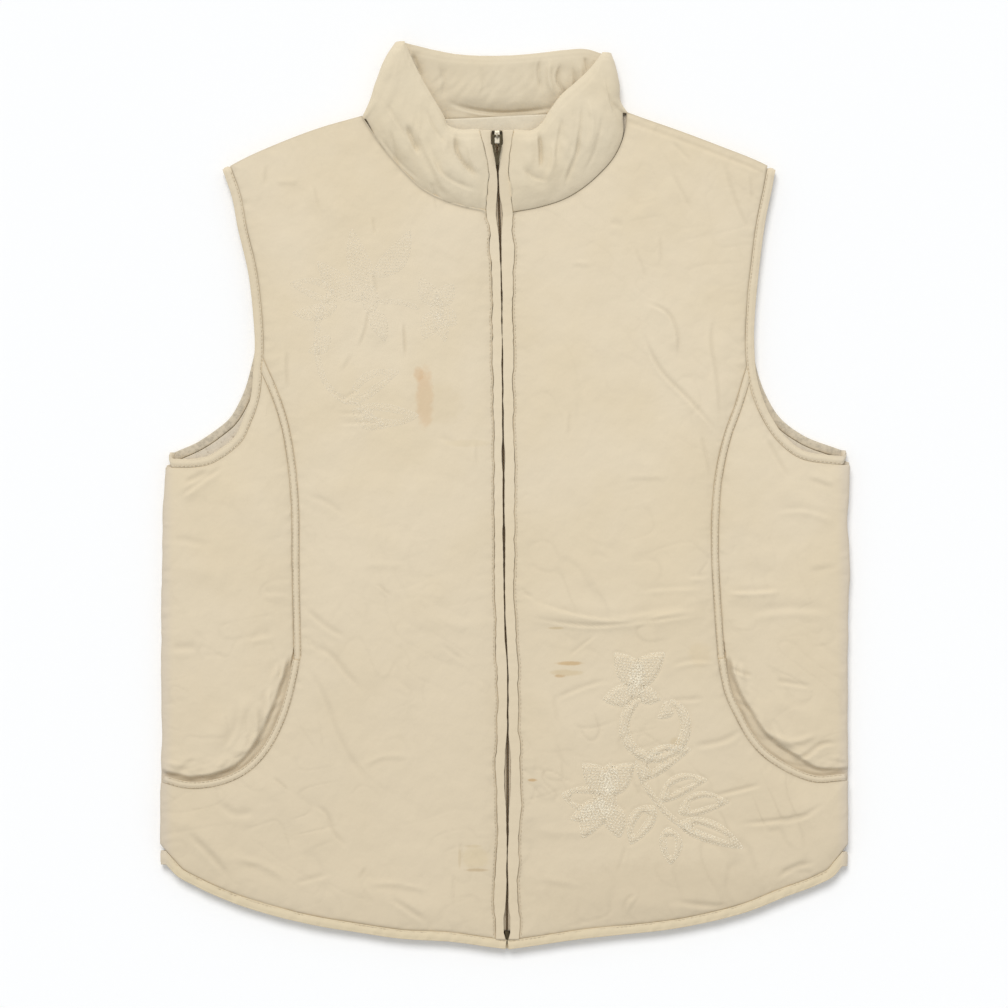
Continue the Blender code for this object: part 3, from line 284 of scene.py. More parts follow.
def creases(tall: float, wide: float, rows: Sequence[Sequence[float]]) -> tuple[Crease, ...]:
    """Creases from rows of height, half width, then x and y of each point of the line.

    Args:
        tall: every height is multiplied by this.
        wide: every half width is multiplied by this.
        rows: the table.
    """
    return tuple(Crease(tall * row[0], wide * row[1], tuple(zip(row[2::2], row[3::2]))) for row in rows)


def folded(rows: Sequence[Sequence[float]]) -> tuple[Crease, ...]:
    """Creases that are each a crisp line in a broad valley."""
    return creases(1.15, 0.6, rows) + creases(0.9, 2.4, rows)


FRONT_CREASES = creases(1.15, 0.75, (
    # the wearer's right front, from the shoulder down
    (-0.55, 1.5, -99.2, 210, -97.5, 195), (-0.6, 1.6, -99.2, 168.8, -97, 158, -95.5, 150),
    (-0.6, 1.6, -102.5, 142.5, -103.7, 130, -110, 110), (-0.35, 2.2, -113.8, 107.5, -122.5, 93.8),
    (-0.8, 1.5, -76.3, 132.5, -74.3, 102.5), (-0.4, 1.8, -132.5, 82.5, -121.2, 73.8, -108.8, 82.5),
    (-0.45, 1.6, -126.2, 62.5, -103.7, 62.5), (-0.45, 1.8, -126, 55, -91.5, 56.2),
    (-0.4, 2.2, -178.7, 250, -180, 232.5), (-0.35, 1.8, -143.8, 235, -138.8, 212.5),
    (0.35, 2.4, -173.8, 236.2, -153.7, 236.2), (-0.35, 1.5, -53.7, 227.5, -50.8, 212.5),
    (-0.55, 2, -163.7, 112.5, -163.3, 77.5), (-0.3, 2.6, -48.8, 45, -36.2, 40),
    (-0.3, 1.8, -21.2, 42.5, -21.2, 20), (-0.35, 3, -151.3, 2.5, -131.2, -5, -118.8, -15),
    (-0.55, 2.8, -151.3, -81.2, -136.2, -95, -116.2, -107.5),
    (-0.6, 3, -148.8, -108.8, -131.2, -117.5, -116.2, -135, -103.7, -147.5),
    (-0.45, 3.2, -151.3, -122.5, -136.2, -147.5, -123.8, -180, -111.2, -202.5, -96.2, -222.5),
    (0.4, 2.6, -108.8, -202.5, -91.2, -195, -68.8, -195), (-0.6, 1.5, -173.8, -210, -161.2, -221.2),
    (-0.55, 2.2, -146.2, -228.8, -133.8, -237.5, -127.5, -252.5, -116.2, -265),
    (-0.45, 1.8, -103.8, -277.5, -110, -287.5), (-0.8, 3.6, -238.8, -250, -218.8, -270, -206.2, -285),
    (0.6, 3.2, -206.3, -270, -178.7, -277.5, -158.8, -290), (-0.5, 2.4, -158.8, -290, -131.2, -282.5),
    (0.6, 2.6, -106.2, -291.2, -91.2, -290, -68.8, -292.5, -53.8, -297.5),
    (-0.8, 2.8, -86.2, -300, -71.2, -310, -56.2, -320),
    (-0.5, 4, -216.2, -227.5, -201.2, -237.5, -186.2, -235), (-0.45, 1.5, -33.8, -257.5, -31.5, -274.8),
    (-0.35, 1.6, -38.8, -280, -38.8, -312), (-0.5, 1.4, -96.2, -65, -83.8, -76.2),
    (0.35, 3.4, -108.8, -51.2, -73.8, -51.2), (0.45, 6, -66, -87, -38, -96, -11, -97.5),
    (-0.4, 2.4, -48, -110, -30, -124),
    # the wearer's left front, from the shoulder down
    (0.35, 2.2, 48.8, 175, 66.2, 175), (-0.45, 4, 78, 206, 90, 204), (-0.35, 1.8, 96.2, 190, 107.5, 160),
    (-0.4, 1.8, 116.2, 197.5, 117.5, 172.5),
    (-0.65, 2, 102.5, 147.5, 122.5, 137.5, 129.5, 122.5, 129.2, 100),
    (-0.75, 2.2, 101.2, 127.5, 116.2, 96.3, 141.2, 70, 162.5, 45),
    (-0.6, 2.2, 158.8, 140, 155, 122.5, 158.8, 87.5, 162.5, 52.5), (-0.45, 2, 146.2, 50, 155, 12.5),
    (-0.45, 2.2, 123.8, 267.5, 141.3, 250), (-0.4, 2.4, 123.8, 245, 141.3, 212.5),
    (-0.5, 2.4, 163.8, 252.5, 173.8, 220, 185, 195), (-0.35, 2, 183.8, 242.5, 186.2, 220),
    (-0.35, 2, 48.8, 65, 47.5, 42.5), (0.3, 2.4, 88.8, 15, 123.8, 15),
    (-0.45, 1.8, 12.5, -71.2, 22.5, -76.2),
    (-0.45, 1.7, 10.3, -72.2, 27.5, -79.3, 49.4, -86.2, 77.5, -91.2, 99.4, -91.9, 121.3, -86.2,
     146.3, -82.5),
    (0.7, 4.2, 148.8, -84, 115, -89, 84, -93.2, 50, -90, 18, -81),
    (-0.75, 1.8, 11.9, -88.7, 36.9, -93.4, 65, -96.5, 90, -95, 115, -91.9, 149.4, -87.2),
    (0.4, 2.6, 149.3, -70, 120, -71, 99.4, -73), (0.45, 2.4, 155, -61.5, 136.2, -62.5),
    (-0.45, 1.5, 46.2, -120, 68.8, -102.5), (-0.55, 2.4, 33.8, -152.5, 71.2, -138.7, 81, -137.5),
    (0.55, 2.4, 158.8, -125.5, 138.8, -125.5, 123.8, -129.3), (-0.5, 2.4, 121.2, -152.5, 151.2, -151.2),
    (-0.7, 3, 138.8, -187.5, 168.8, -180, 178.8, -172.5),
    (-0.8, 2.2, 153.8, -225, 173.8, -220, 193.8, -215),
    (-0.7, 2.6, 173.8, -245, 203.8, -242.5, 223.8, -238.7, 241.2, -227.5),
    (-0.75, 2.4, 202.5, -287.5, 213.8, -278.7, 233.8, -273.7),
    (-0.6, 2, 88.8, -312.5, 91.3, -302.5, 98.8, -297.5),
    (-1, 2.8, 118.8, -301.2, 148.8, -306.2, 183.8, -305, 201.2, -290),
    (-0.35, 2.4, 36.2, -147.5, 40, -172.5), (-0.35, 1.8, 42.5, -197.5, 43.7, -212.5),
    (0.35, 4, 15, -248, 48, -252, 80, -249), (-0.45, 1.8, 83.8, -285, 91.2, -260),
    (0.4, 3, 20, -285, 60, -292)))
SIDE_CREASES = creases(1.3, 0.8, (
    (-0.7, 2.6, -241.3, 10, -221.2, 20), (-0.6, 2.4, -247, -2, -228, 12, -210, 24),
    (0.35, 3, -171.2, -105, -196.2, -110), (-0.55, 4, -251.2, -112.5, -228.8, -112.5),
    (0.35, 3, -161.2, -75, -183.8, -75), (-0.35, 3.6, -250, -30, -222, -36),
    (-0.9, 2.4, -185.7, -155, -183.7, -172.5, -185, -185, -193.7, -197.5),
    (0.8, 2.6, -176, -142, -178, -160, -180, -178), (-0.6, 2.2, -206, -196, -214, -206),
    (0.5, 3, -196, -150, -200, -176, -212, -196), (-0.5, 2.4, -232, -196, -246, -206),
    (0.7, 2.6, 208.7, -71.5, 186.2, -73, 163.8, -73), (0.6, 4.4, 246.2, -90, 208.7, -88, 181.2, -93),
    (-0.6, 2, 166.2, -127.5, 186.2, -135), (-0.5, 2.2, 201.2, -137.5, 232.5, -142.5),
    (-0.9, 2.4, 186.2, -172.5, 208.7, -187.5, 223.8, -192.5),
    (-0.9, 2.2, 213.8, -200, 223.8, -195, 238.7, -185, 251.2, -185),
    (0.8, 2.6, 196, -176, 216, -184, 236, -178), (-0.45, 2.4, 193.8, 47.5, 213.8, 12.5),
    (-0.5, 2.6, 248, 6, 226, 14), (0.4, 3, 250, -20, 222, -12, 200, -14),
    (-0.35, 3, 250, -52, 226, -56)))
BACK_CREASES = creases(1, 1, (
    (0.5, 3, -150, 190, -120, 150, -112, 108), (0.6, 3.4, 146, 205, 128, 160, 132, 118),
    (0.5, 3, -60, 240, -20, 232, 36, 240), (0.6, 3.6, -232, -60, -180, -74, -120, -70),
    (0.5, 3, 110, -92, 168, -80, 236, -88), (0.4, 2.6, -20, 40, 10, -20, 6, -80),
    (0.6, 3.2, -215, -230, -160, -262, -110, -268), (0.5, 3, 96, -270, 150, -250, 214, -262),
    (0.4, 2.8, 60, 100, 96, 60, 104, 10), (0.4, 2.8, -96, 20, -70, -24, -76, -70),
    (0.5, 2.8, -226, 6, -196, -12), (0.5, 2.8, 230, 2, 198, -20),
    (0.4, 2.6, -30, -180, 20, -196, 66, -186)))


# ---- lines

def ease(value: Array | float, low: float, high: float) -> Array:
    """0 below low, 1 above high and the smooth rise 3t^2 - 2t^3 between."""
    t = np.clip((value - low) / (high - low), 0, 1)
    return t * t * (3 - 2 * t)


def line_length(line: Array) -> float:
    """Length along a line of points."""
    return float(np.linalg.norm(np.diff(line, axis=0), axis=1).sum())


def travel(line: Array) -> Array:
    """How far along a line each of its points is."""
    return np.concatenate([[0], np.cumsum(np.linalg.norm(np.diff(line, axis=0), axis=1))])


def stacked(rows: Array, last: float | Array = 0.0) -> Array:
    """The rows, or single numbers, with one more value at the end of each."""
    return np.column_stack([rows, np.full(len(rows), last)])


def repeated(vector: Sequence[float], rows: Array) -> Array:
    """The vector once for each of the rows."""
    return np.tile(vector, (len(rows), 1))


def read_line(line: Array, shares: Array) -> Array:
    """Points at the given shares of a line's length."""
    travelled = travel(line)
    places = np.asarray(shares) * travelled[-1]
    return np.stack([np.interp(places, travelled, line[:, k]) for k in range(line.shape[1])], axis=1)


def even(line: Array, count: int) -> Array:
    """The line read at evenly spaced places."""
    return read_line(line, np.linspace(0, 1, count))


def smooth_curve(points: Sequence[Pair] | Array, step: float) -> Array:
    """A cubic curve through the points, read at even distances of about one step.

    Each stretch is a Hermite cubic. The slope at a point is the mean of the slopes of the
    two stretches that meet there, weighted by the other's length.

    Args:
        points: the places that the curve passes through.
        step: distance between the places returned.
    """
    points = np.asarray(points, float)
    if len(points) == 2:
        return even(points, max(int(line_length(points) / step), 1) + 1)
    chord = np.linalg.norm(np.diff(points, axis=0), axis=1)[:, None]
    slope = np.diff(points, axis=0) / chord
    inner = (slope[:-1] * chord[1:] + slope[1:] * chord[:-1]) / (chord[:-1] + chord[1:])
    tangent = np.vstack([slope[:1], inner, slope[-1:]])
    t = np.linspace(0, 1, 20, endpoint=False)[:, None, None]
    fine = (points[:-1] * (1 + 2 * t) * (1 - t) ** 2 + tangent[:-1] * chord * t * (1 - t) ** 2
            + points[1:] * t ** 2 * (3 - 2 * t) - tangent[1:] * chord * t ** 2 * (1 - t))
    fine = np.vstack([fine.transpose(1, 0, 2).reshape(-1, points.shape[1]), points[-1:]])
    return even(fine, max(int(round(line_length(fine) / step)), 1) + 1)


def to_the_left(vectors: Array) -> Array:
    """Flat vectors turned a quarter to the left."""
    return np.stack([-vectors[:, 1], vectors[:, 0]], axis=1)


def headings(line: Array) -> Array:
    """Unit direction of travel at each point of a line."""
    ahead = np.gradient(line, axis=0)
    return ahead / np.linalg.norm(ahead, axis=1)[:, None]


def beside(line: Array, distance: float | Array) -> Array:
    """The line moved sideways; a positive distance is to its left."""
    return line + np.asarray(distance)[..., None] * to_the_left(headings(line))


def extend(line: Array, before: float = 0.0, after: float = 0.0) -> Array:
    """The line with a straight point added beyond either end."""
    first, last = line[0] - line[1], line[-1] - line[-2]
    parts = [line]
    if before:
        parts.insert(0, line[:1] + first / np.linalg.norm(first) * before)
    if after:
        parts.append(line[-1:] + last / np.linalg.norm(last) * after)
    return np.vstack(parts)


def crossing(first: Array, second: Array) -> tuple[Array, int, int] | None:
    """The last place on one line where another crosses it.

    Solves p + t r = q + u s for every pair of stretches at once, by cross products.

    Returns:
        The point and the stretch's number on each line, or None.
    """
    p, r = first[:-1, None], np.diff(first, axis=0)[:, None]
    q, s = second[None, :-1], np.diff(second, axis=0)[None]
    cross = r[..., 0] * s[..., 1] - r[..., 1] * s[..., 0]
    cross = np.where(np.abs(cross) < 1e-9, np.nan, cross)
    gap = q - p
    t = (gap[..., 0] * s[..., 1] - gap[..., 1] * s[..., 0]) / cross
    u = (gap[..., 0] * r[..., 1] - gap[..., 1] * r[..., 0]) / cross
    hits = np.argwhere((t >= 0) & (t <= 1) & (u >= 0) & (u <= 1))
    if not len(hits):
        return None
    i, j = hits[-1]
    return first[i] + t[i, j] * r[i, 0], int(i), int(j)


def trimmed(*lines: Array) -> list[Array]:
    """The lines in order round a panel, each cut where it crosses the next."""
    cut = [np.asarray(line, float) for line in lines]
    for k in range(len(cut)):
        following = (k + 1) % len(cut)
        found = crossing(cut[k], cut[following])
        if found:
            point, i, j = found
            cut[k] = np.vstack([cut[k][:i + 1], point])
            cut[following] = np.vstack([point, cut[following][j + 1:]])
    return cut


def nearest(points: Array, line: Array, closed: bool = False) -> tuple[Array, Array, Array]:
    """Where each point lies against a line.

    Every point is dropped square onto every stretch, t = reach . run / run . run clipped
    to 0..1, and the closest foot is kept.

    Returns:
        The distance, how far along the line the foot is, and 1 on its left or -1.
    """
    line = np.vstack([line, line[:1]]) if closed else line
    start, run = line[:-1], np.diff(line, axis=0)
    length = np.maximum(np.linalg.norm(run, axis=1), 1e-9)
    before = np.cumsum(length) - length
    found = []
    for low in range(0, len(points), CHUNK):
        reach = points[low:low + CHUNK, None] - start
        t = np.clip(np.sum(reach * run, axis=2) / length ** 2, 0, 1)
        away = np.linalg.norm(reach - t[..., None] * run, axis=2)
        pick = away.argmin(axis=1)
        rows = np.arange(len(pick))
        side = run[pick, 0] * reach[rows, pick, 1] - run[pick, 1] * reach[rows, pick, 0]
        along = before[pick] + t[rows, pick] * length[pick]
        found.append(np.stack([away[rows, pick], along, np.where(side < 0, -1.0, 1.0)]))
    return tuple(np.concatenate(found, axis=1))


def inside(points: Array, outline: Array) -> Array:
    """Which points lie inside a closed outline, by counting the edges to their right."""
    x, y = points[:, 0, None], points[:, 1, None]
    a, b = outline, np.roll(outline, -1, axis=0)
    with np.errstate(divide="ignore", invalid="ignore"):
        edge_x = a[:, 0] + (y - a[:, 1]) * (b[:, 0] - a[:, 0]) / (b[:, 1] - a[:, 1])
    return (((a[:, 1] > y) != (b[:, 1] > y)) & (x < edge_x)).sum(axis=1) % 2 == 1


@dataclass(frozen=True)
class Ripple:
    """Smooth uneven waves from -1 to 1: eased values between random ones on a turned grid."""

    size: Pair
    seed: int
    turn: float = 0.0

    def __call__(self, points: Array) -> Array:
        """The wave's value at each x and y."""
        c, s = math.cos(math.radians(self.turn)), math.sin(math.radians(self.turn))
        place = points @ np.array(((c, -s), (s, c))) / np.array(self.size)
        cell = np.floor(place)
        f = place - cell
        f = f * f * (3 - 2 * f)
        table = np.random.default_rng(self.seed).uniform(-1, 1, (64, 64))
        i, j = (cell.astype(int) % 64).T
        k, m = (i + 1) % 64, (j + 1) % 64
        low = table[i, j] * (1 - f[:, 0]) + table[k, j] * f[:, 0]
        high = table[i, m] * (1 - f[:, 0]) + table[k, m] * f[:, 0]
        return low * (1 - f[:, 1]) + high * f[:, 1]


# ---- meshes

@dataclass
class Body:
    """Points and faces of a piece before it becomes a mesh.

    Attributes:
        points: x, y and z in millimetres.
        faces: arrays of faces, each array with faces of one size.
        caps: single faces with many corners.
        cap_material: material number of the caps.
        marks: values at the points, by name, that the finish reads.
    """

    points: Array
    faces: list[Array]
    caps: list[Array] = field(default_factory=list)
    cap_material: int = 0
    marks: dict[str, Array] = field(default_factory=dict)

    @staticmethod
    def joined(bodies: Sequence["Body"]) -> "Body":
        """Several bodies as one, with the marks that the first one has."""
        pairs = list(zip(bodies, np.cumsum([0] + [len(body.points) for body in bodies])))
        marks = {name: np.concatenate([body.marks[name] for body in bodies]) for name in bodies[0].marks}
        return Body(np.vstack([body.points for body in bodies]),
                    [face + start for body, start in pairs for face in body.faces],
                    [cap + start for body, start in pairs for cap in body.caps], marks=marks)

    def mesh(self, name: str) -> bpy.types.Mesh:
        """The body as a smooth-shaded mesh in metres."""
        made = bpy.data.meshes.new(name)
        made.vertices.add(len(self.points))
        made.vertices.foreach_set("co", (self.points * MM).astype(np.float32).ravel())
        groups = [face for face in self.faces if len(face)]
        loops = np.concatenate([face.ravel() for face in groups] + [np.asarray(cap) for cap in self.caps])
        sizes = np.concatenate([np.full(len(face), face.shape[1]) for face in groups]
                               + [[len(cap)] for cap in self.caps])
        made.loops.add(len(loops))
        made.loops.foreach_set("vertex_index", loops.astype(np.int32))
        made.polygons.add(len(sizes))
        made.polygons.foreach_set("loop_start", (np.cumsum(sizes) - sizes).astype(np.int32))
        material = np.zeros(len(sizes), np.int32)
        material[len(sizes) - len(self.caps):] = self.cap_material if self.caps else 0
        made.polygons.foreach_set("material_index", material)
        made.update(calc_edges=True)
        made.validate()
        for mark, values in self.marks.items():
            data = made.attributes.new(mark, "FLOAT", "POINT").data
            data.foreach_set("value", values.astype(np.float32))
        made.shade_smooth()
        return made


def grid_faces(rows: int, columns: int, flip: bool = False) -> Array:
    """Four-cornered faces over a grid of points stored row by row."""
    i, j = np.meshgrid(np.arange(rows - 1), np.arange(columns - 1), indexing="ij")
    corner = (i * columns + j).ravel()
    quads = np.stack([corner, corner + 1, corner + columns + 1, corner + columns], axis=1)
    return quads[:, ::-1] if flip else quads


def grid_ring(rows: int, columns: int) -> Array:
    """The grid's rim as point numbers, anticlockwise seen from above."""
    first, last = np.arange(columns), (rows - 1) * columns + np.arange(columns)[::-1]
    right = np.arange(1, rows - 1) * columns + columns - 1
    left = np.arange(1, rows - 1)[::-1] * columns
    return np.concatenate([first, right, last, left])


def patch(bottom: Array, top: Array, left: Array, right: Array, rows: int, columns: int) -> Array:
    """A sheet of points stretched between four edges.

    A Coons patch: the blend across from left to right, plus the blend up from bottom to
    top, less the blend of the four corners.

    Args:
        bottom: edge at the lowest Y, from left to right, as is top at the highest.
        left: edge at the lowest X, from bottom to top, as is right at the highest.

    Returns:
        x and y, as rows by columns by 2.
    """
    b, t = even(bottom, columns)[None], even(top, columns)[None]
    p, q = even(left, rows)[:, None], even(right, rows)[:, None]
    u = np.linspace(0, 1, columns)[None, :, None]
    v = np.linspace(0, 1, rows)[:, None, None]
    corners = ((1 - u) * (1 - v) * p[:1] + u * (1 - v) * q[:1]
               + (1 - u) * v * p[-1:] + u * v * q[-1:])
    return (1 - u) * p + u * q + (1 - v) * b + v * t - corners


def tray(sheet: Array, rims: Sequence[tuple[Array, float]], flip: bool = False,
         cap_material: int = 0) -> Body:
    """A closed pad: a sheet of points, its rim walled down or up, and a lid over the far side.

    Args:
        sheet: rows by columns by 3.
        rims: for each further ring, its heights and how far it stands in from the rim.
        flip: True where the sheet is the underside and the walls go up.
        cap_material: material number of the lid.
    """
    rows, columns = sheet.shape[:2]
    points = [sheet.reshape(-1, 3)]
    rings = [grid_ring(rows, columns)]
    rim = points[0][rings[0]]
    closed = np.vstack([rim[-1:], rim, rim[:1]])
    inward = to_the_left(headings(closed[:, :2]))[1:-1]
    faces = [grid_faces(rows, columns, flip)]
    for heights, inset in rims:
        high, low = rings[-1], sum(len(part) for part in points) + np.arange(len(rim))
        quads = np.stack([low, np.roll(low, -1), np.roll(high, -1), high], axis=1)
        faces.append(quads[:, ::-1] if flip else quads)
        rings.append(low)
        points.append(stacked(rim[:, :2] + inset * inward, heights))
    return Body(np.vstack(points), faces, [rings[-1] if flip else rings[-1][::-1]], cap_material)


def tube(rings: Array, closed: bool = False, flip: bool = False) -> Body:
    """A skin over rings of points, stored as rings by points by 3, with a cap at each end if not closed."""
    count, sides = rings.shape[:2]
    i, j = np.meshgrid(np.arange(count if closed else count - 1), np.arange(sides), indexing="ij")
    i, j = i.ravel(), j.ravel()
    k, m = (i + 1) % count, (j + 1) % sides
    quads = np.stack([i * sides + j, i * sides + m, k * sides + m, k * sides + j], axis=1)
    caps = [] if closed else [np.arange(sides)[::-1], (count - 1) * sides + np.arange(sides)]
    way = -1 if flip else 1
    return Body(rings.reshape(-1, 3), [quads[:, ::way]], [cap[::way] for cap in caps])


def sweep(middles: Array, across: Array, through: Array, profile: Array, closed: bool = False) -> Body:
    """A profile carried along a path.

    Each section's points are middle + a across + b through, for each row (a, b) of the
    profile. The profile runs anticlockwise seen along the path.

    Args:
        middles: the path.
        across: the section's width at each place, as a vector.
        through: its thickness there.
        profile: m by 2 shares, or one such table for each section.
    """
    share = np.broadcast_to(profile, (len(middles), *np.shape(profile)[-2:]))
    rings = middles[:, None] + share[..., :1] * across[:, None] + share[..., 1:] * through[:, None]
    return tube(rings, closed)


def soft_profile(count: int, power: float) -> Array:
    """A rounded oblong of unit width and thickness: |2a|^power + |2b|^power = 1."""
    turn = np.linspace(0, 2 * math.pi, count, endpoint=False)
    c, s = np.cos(turn), np.sin(turn)
    return np.stack([np.sign(x) * np.abs(x) ** (2 / power) for x in (c, s)], axis=1) / 2


def threads(starts: Array, ends: Array, radius: float, rise: float, flat: float = 1.0) -> Body:
    """Stitches: spindles of thread between pairs of points, four-sided with pointed ends.

    Args:
        starts: x, y and z where each goes into the cloth.
        ends: where each comes out.
        radius: of the thread.
        rise: how far its middle arches up.
        flat: thickness as a share of width.
    """
    run = ends - starts
    length = np.maximum(np.linalg.norm(run, axis=1, keepdims=True), 1e-6)
    ahead = run / length
    aside = np.cross(UP, ahead)
    aside /= np.maximum(np.linalg.norm(aside, axis=1, keepdims=True), 1e-6)
    up = np.cross(ahead, aside)
    turn = ((0, 1), (-1, 0), (0, -1), (1, 0))
    rings = [[starts + run * share + up * rise + radius * (a * aside + flat * b * up) for a, b in turn]
             for share in (0.22, 0.78)]
    points = np.stack([starts, *rings[0], *rings[1], ends], axis=1)
    sides = [(1 + k, 1 + (k + 1) % 4) for k in range(4)]
    near, far = [(0, b, a) for a, b in sides], [(9, a + 4, b + 4) for a, b in sides]
    quads = [(a, b, b + 4, a + 4) for a, b in sides]
    base = 10 * np.arange(len(starts))[:, None, None]
    return Body(points.reshape(-1, 3), [(np.array(near + far)[None] + base).reshape(-1, 3),
                                        (np.array(quads)[None] + base).reshape(-1, 4)])


# ---- finishes

def linear(colour: Sequence[float]) -> tuple[float, float, float, float]:
    """An 8-bit screen colour as linear red, green and blue, with alpha 1."""
    share = np.asarray(colour, float) / 255
    value = np.where(share <= 0.04045, share / 12.92, ((share + 0.055) / 1.055) ** 2.4)
    return (*map(float, value), 1.0)


def operator(operation: str, reflected: bool = False) -> Callable[["Wire", "Wire | float"], "Wire"]:
    """A method that adds a Math node for an operator. Its own value comes second where reflected."""
    def method(self: "Wire", other: "Wire | float") -> "Wire":
        """The node's result."""
        return self.math(operation, *((other, self) if reflected else (self, other)))
    return method


class Wire:
    """One value in a material. Sums, products and powers on it add Math nodes."""

    __add__, __radd__ = operator("ADD"), operator("ADD", True)
    __sub__, __rsub__ = operator("SUBTRACT"), operator("SUBTRACT", True)
    __mul__, __rmul__ = operator("MULTIPLY"), operator("MULTIPLY", True)
    __truediv__, __pow__ = operator("DIVIDE"), operator("POWER")

    def __init__(self, shader: "Shader", socket: bpy.types.NodeSocket) -> None:
        """Keeps the socket that the value comes out of."""
        self.shader, self.socket = shader, socket

    def math(self, operation: str, first: "Wire | float", second: "Wire | float" = 0.0) -> "Wire":
        """A Math node on two values."""
        return self.shader.node("ShaderNodeMath", {"operation": operation}, {0: first, 1: second})

    def sine(self) -> "Wire":
        """Its sine."""
        return self.math("SINE", self)

    def ramp(self, low: float, high: float) -> "Wire":
        """0 below low, 1 above high and smooth between."""
        return self.shader.node("ShaderNodeMapRange", {"interpolation_type": "SMOOTHSTEP"},
                                {"Value": self, "From Min": low, "From Max": high})


class Shader:
    """The nodes of one material, around a Principled shader."""

    def __init__(self, name: str) -> None:
        """Makes an empty material with its output and shader."""
        self.material = bpy.data.materials.new(name)
        self.material.use_nodes = True
        self.tree = self.material.node_tree
        self.skin = self.tree.nodes["Principled BSDF"]

    def node(self, kind: str, settings: dict[str, object] | None = None,
             values: dict[str | int, object] | None = None, output: str | int = 0) -> Wire:
        """Adds a node.

        Args:
            kind: its type.
            settings: properties, set first.
            values: numbers, colours or wires for its sockets.
            output: the socket that the returned wire leads from.
        """
        made = self.tree.nodes.new(kind)
        for key, value in (settings or {}).items():
            setattr(made, key, value)
        for key, value in (values or {}).items():
            if isinstance(value, Wire):
                self.tree.links.new(value.socket, made.inputs[key])
            else:
                made.inputs[key].default_value = value
        return Wire(self, made.outputs[output])

    def place(self) -> Wire:
        """The point's own x, y and z in metres."""
        return self.node("ShaderNodeTexCoord", output="Object")

    def parts(self, place: Wire) -> tuple[Wire, Wire, Wire]:
        """A vector's three parts."""
        self.node("ShaderNodeSeparateXYZ", values={0: place})
        return tuple(Wire(self, socket) for socket in self.tree.nodes[-1].outputs)

    def mark(self, name: str) -> Wire:
        """A value that the mesh carries."""
        return self.node("ShaderNodeAttribute", {"attribute_name": name}, output="Fac")

    def noise(self, place: Wire, size: float, detail: float, rough: float,
              stretch: tuple[float, float, float] = (1, 1, 1)) -> Wire:
        """Cloudy noise from 0 to 1 with features of a size in millimetres."""
        scaled = self.node("ShaderNodeMapping", values={"Vector": place, "Scale": stretch})
        return self.node("ShaderNodeTexNoise", values={
            "Vector": scaled, "Scale": 1 / (size * MM), "Detail": detail, "Roughness": rough})

    def mix(self, factor: Wire | float, first: Wire | Sequence[float],
            second: Wire | Sequence[float]) -> Wire:
        """A colour between two, each a wire or red, green and blue from 0 to 255."""
        first, second = (value if isinstance(value, Wire) else linear(value) for value in (first, second))
        return self.node("ShaderNodeMix", {"data_type": "RGBA"}, {0: factor, 6: first, 7: second}, 2)

    def bump(self, height: Wire, distance: float, strength: float, normal: Wire | None = None) -> Wire:
        """Bumps of a height in millimetres."""
        values = {"Height": height, "Distance": distance * MM, "Strength": strength}
        if normal is not None:
            values["Normal"] = normal
        return self.node("ShaderNodeBump", values=values)

    def wear(self, **values: object) -> bpy.types.Material:
        """Sets the Principled shader's sockets, named with _ for a space, and returns the material."""
        for name, value in values.items():
            socket = self.skin.inputs[name.replace("_", " ")]
            if isinstance(value, Wire):
                self.tree.links.new(value.socket, socket)
            else:
                socket.default_value = value
        self.material.diffuse_color = self.skin.inputs["Base Color"].default_value
        return self.material


@dataclass(frozen=True)
class Stain:
    """A soiled place: its middle, half width and half height, colour and strength."""

    x: float
    y: float
    wide: float
    tall: float
    colour: Colour
    strength: float


STAINS = tuple(Stain(*row) for row in (
    (-60, 74, 7, 24, (214, 172, 128), 0.4), (-65, 92, 4, 6, (208, 166, 120), 0.36),
    (-50, 70, 20, 17, (214, 196, 162), 0.3), (-28, 40, 18, 3, (214, 196, 160), 0.25),
    (48.5, -125, 11, 1.7, (200, 166, 116), 0.65), (46, -132, 13, 2.6, (206, 184, 144), 0.5),
    (41, -134.5, 4.5, 1.3, (194, 158, 108), 0.55), (38, -98.5, 6, 1.2, (204, 182, 142), 0.6),
    (20.5, -212.5, 4, 1.2, (196, 160, 112), 0.7), (-22, -271, 11, 9, (214, 194, 152), 0.3),
    (-21, -280, 10, 1.3, (188, 162, 122), 0.5), (-34, -271, 1.2, 8, (200, 178, 140), 0.35),
    # The broad patch at x 120, y -300 makes the left hem darker.
    (-24, -262, 7, 1.2, (204, 184, 146), 0.35), (120, -300, 120, 30, (204, 188, 160), 0.35),
    (146, -118, 9, 10, (216, 194, 154), 0.2), (128, -184, 5, 4, (206, 184, 144), 0.35)))


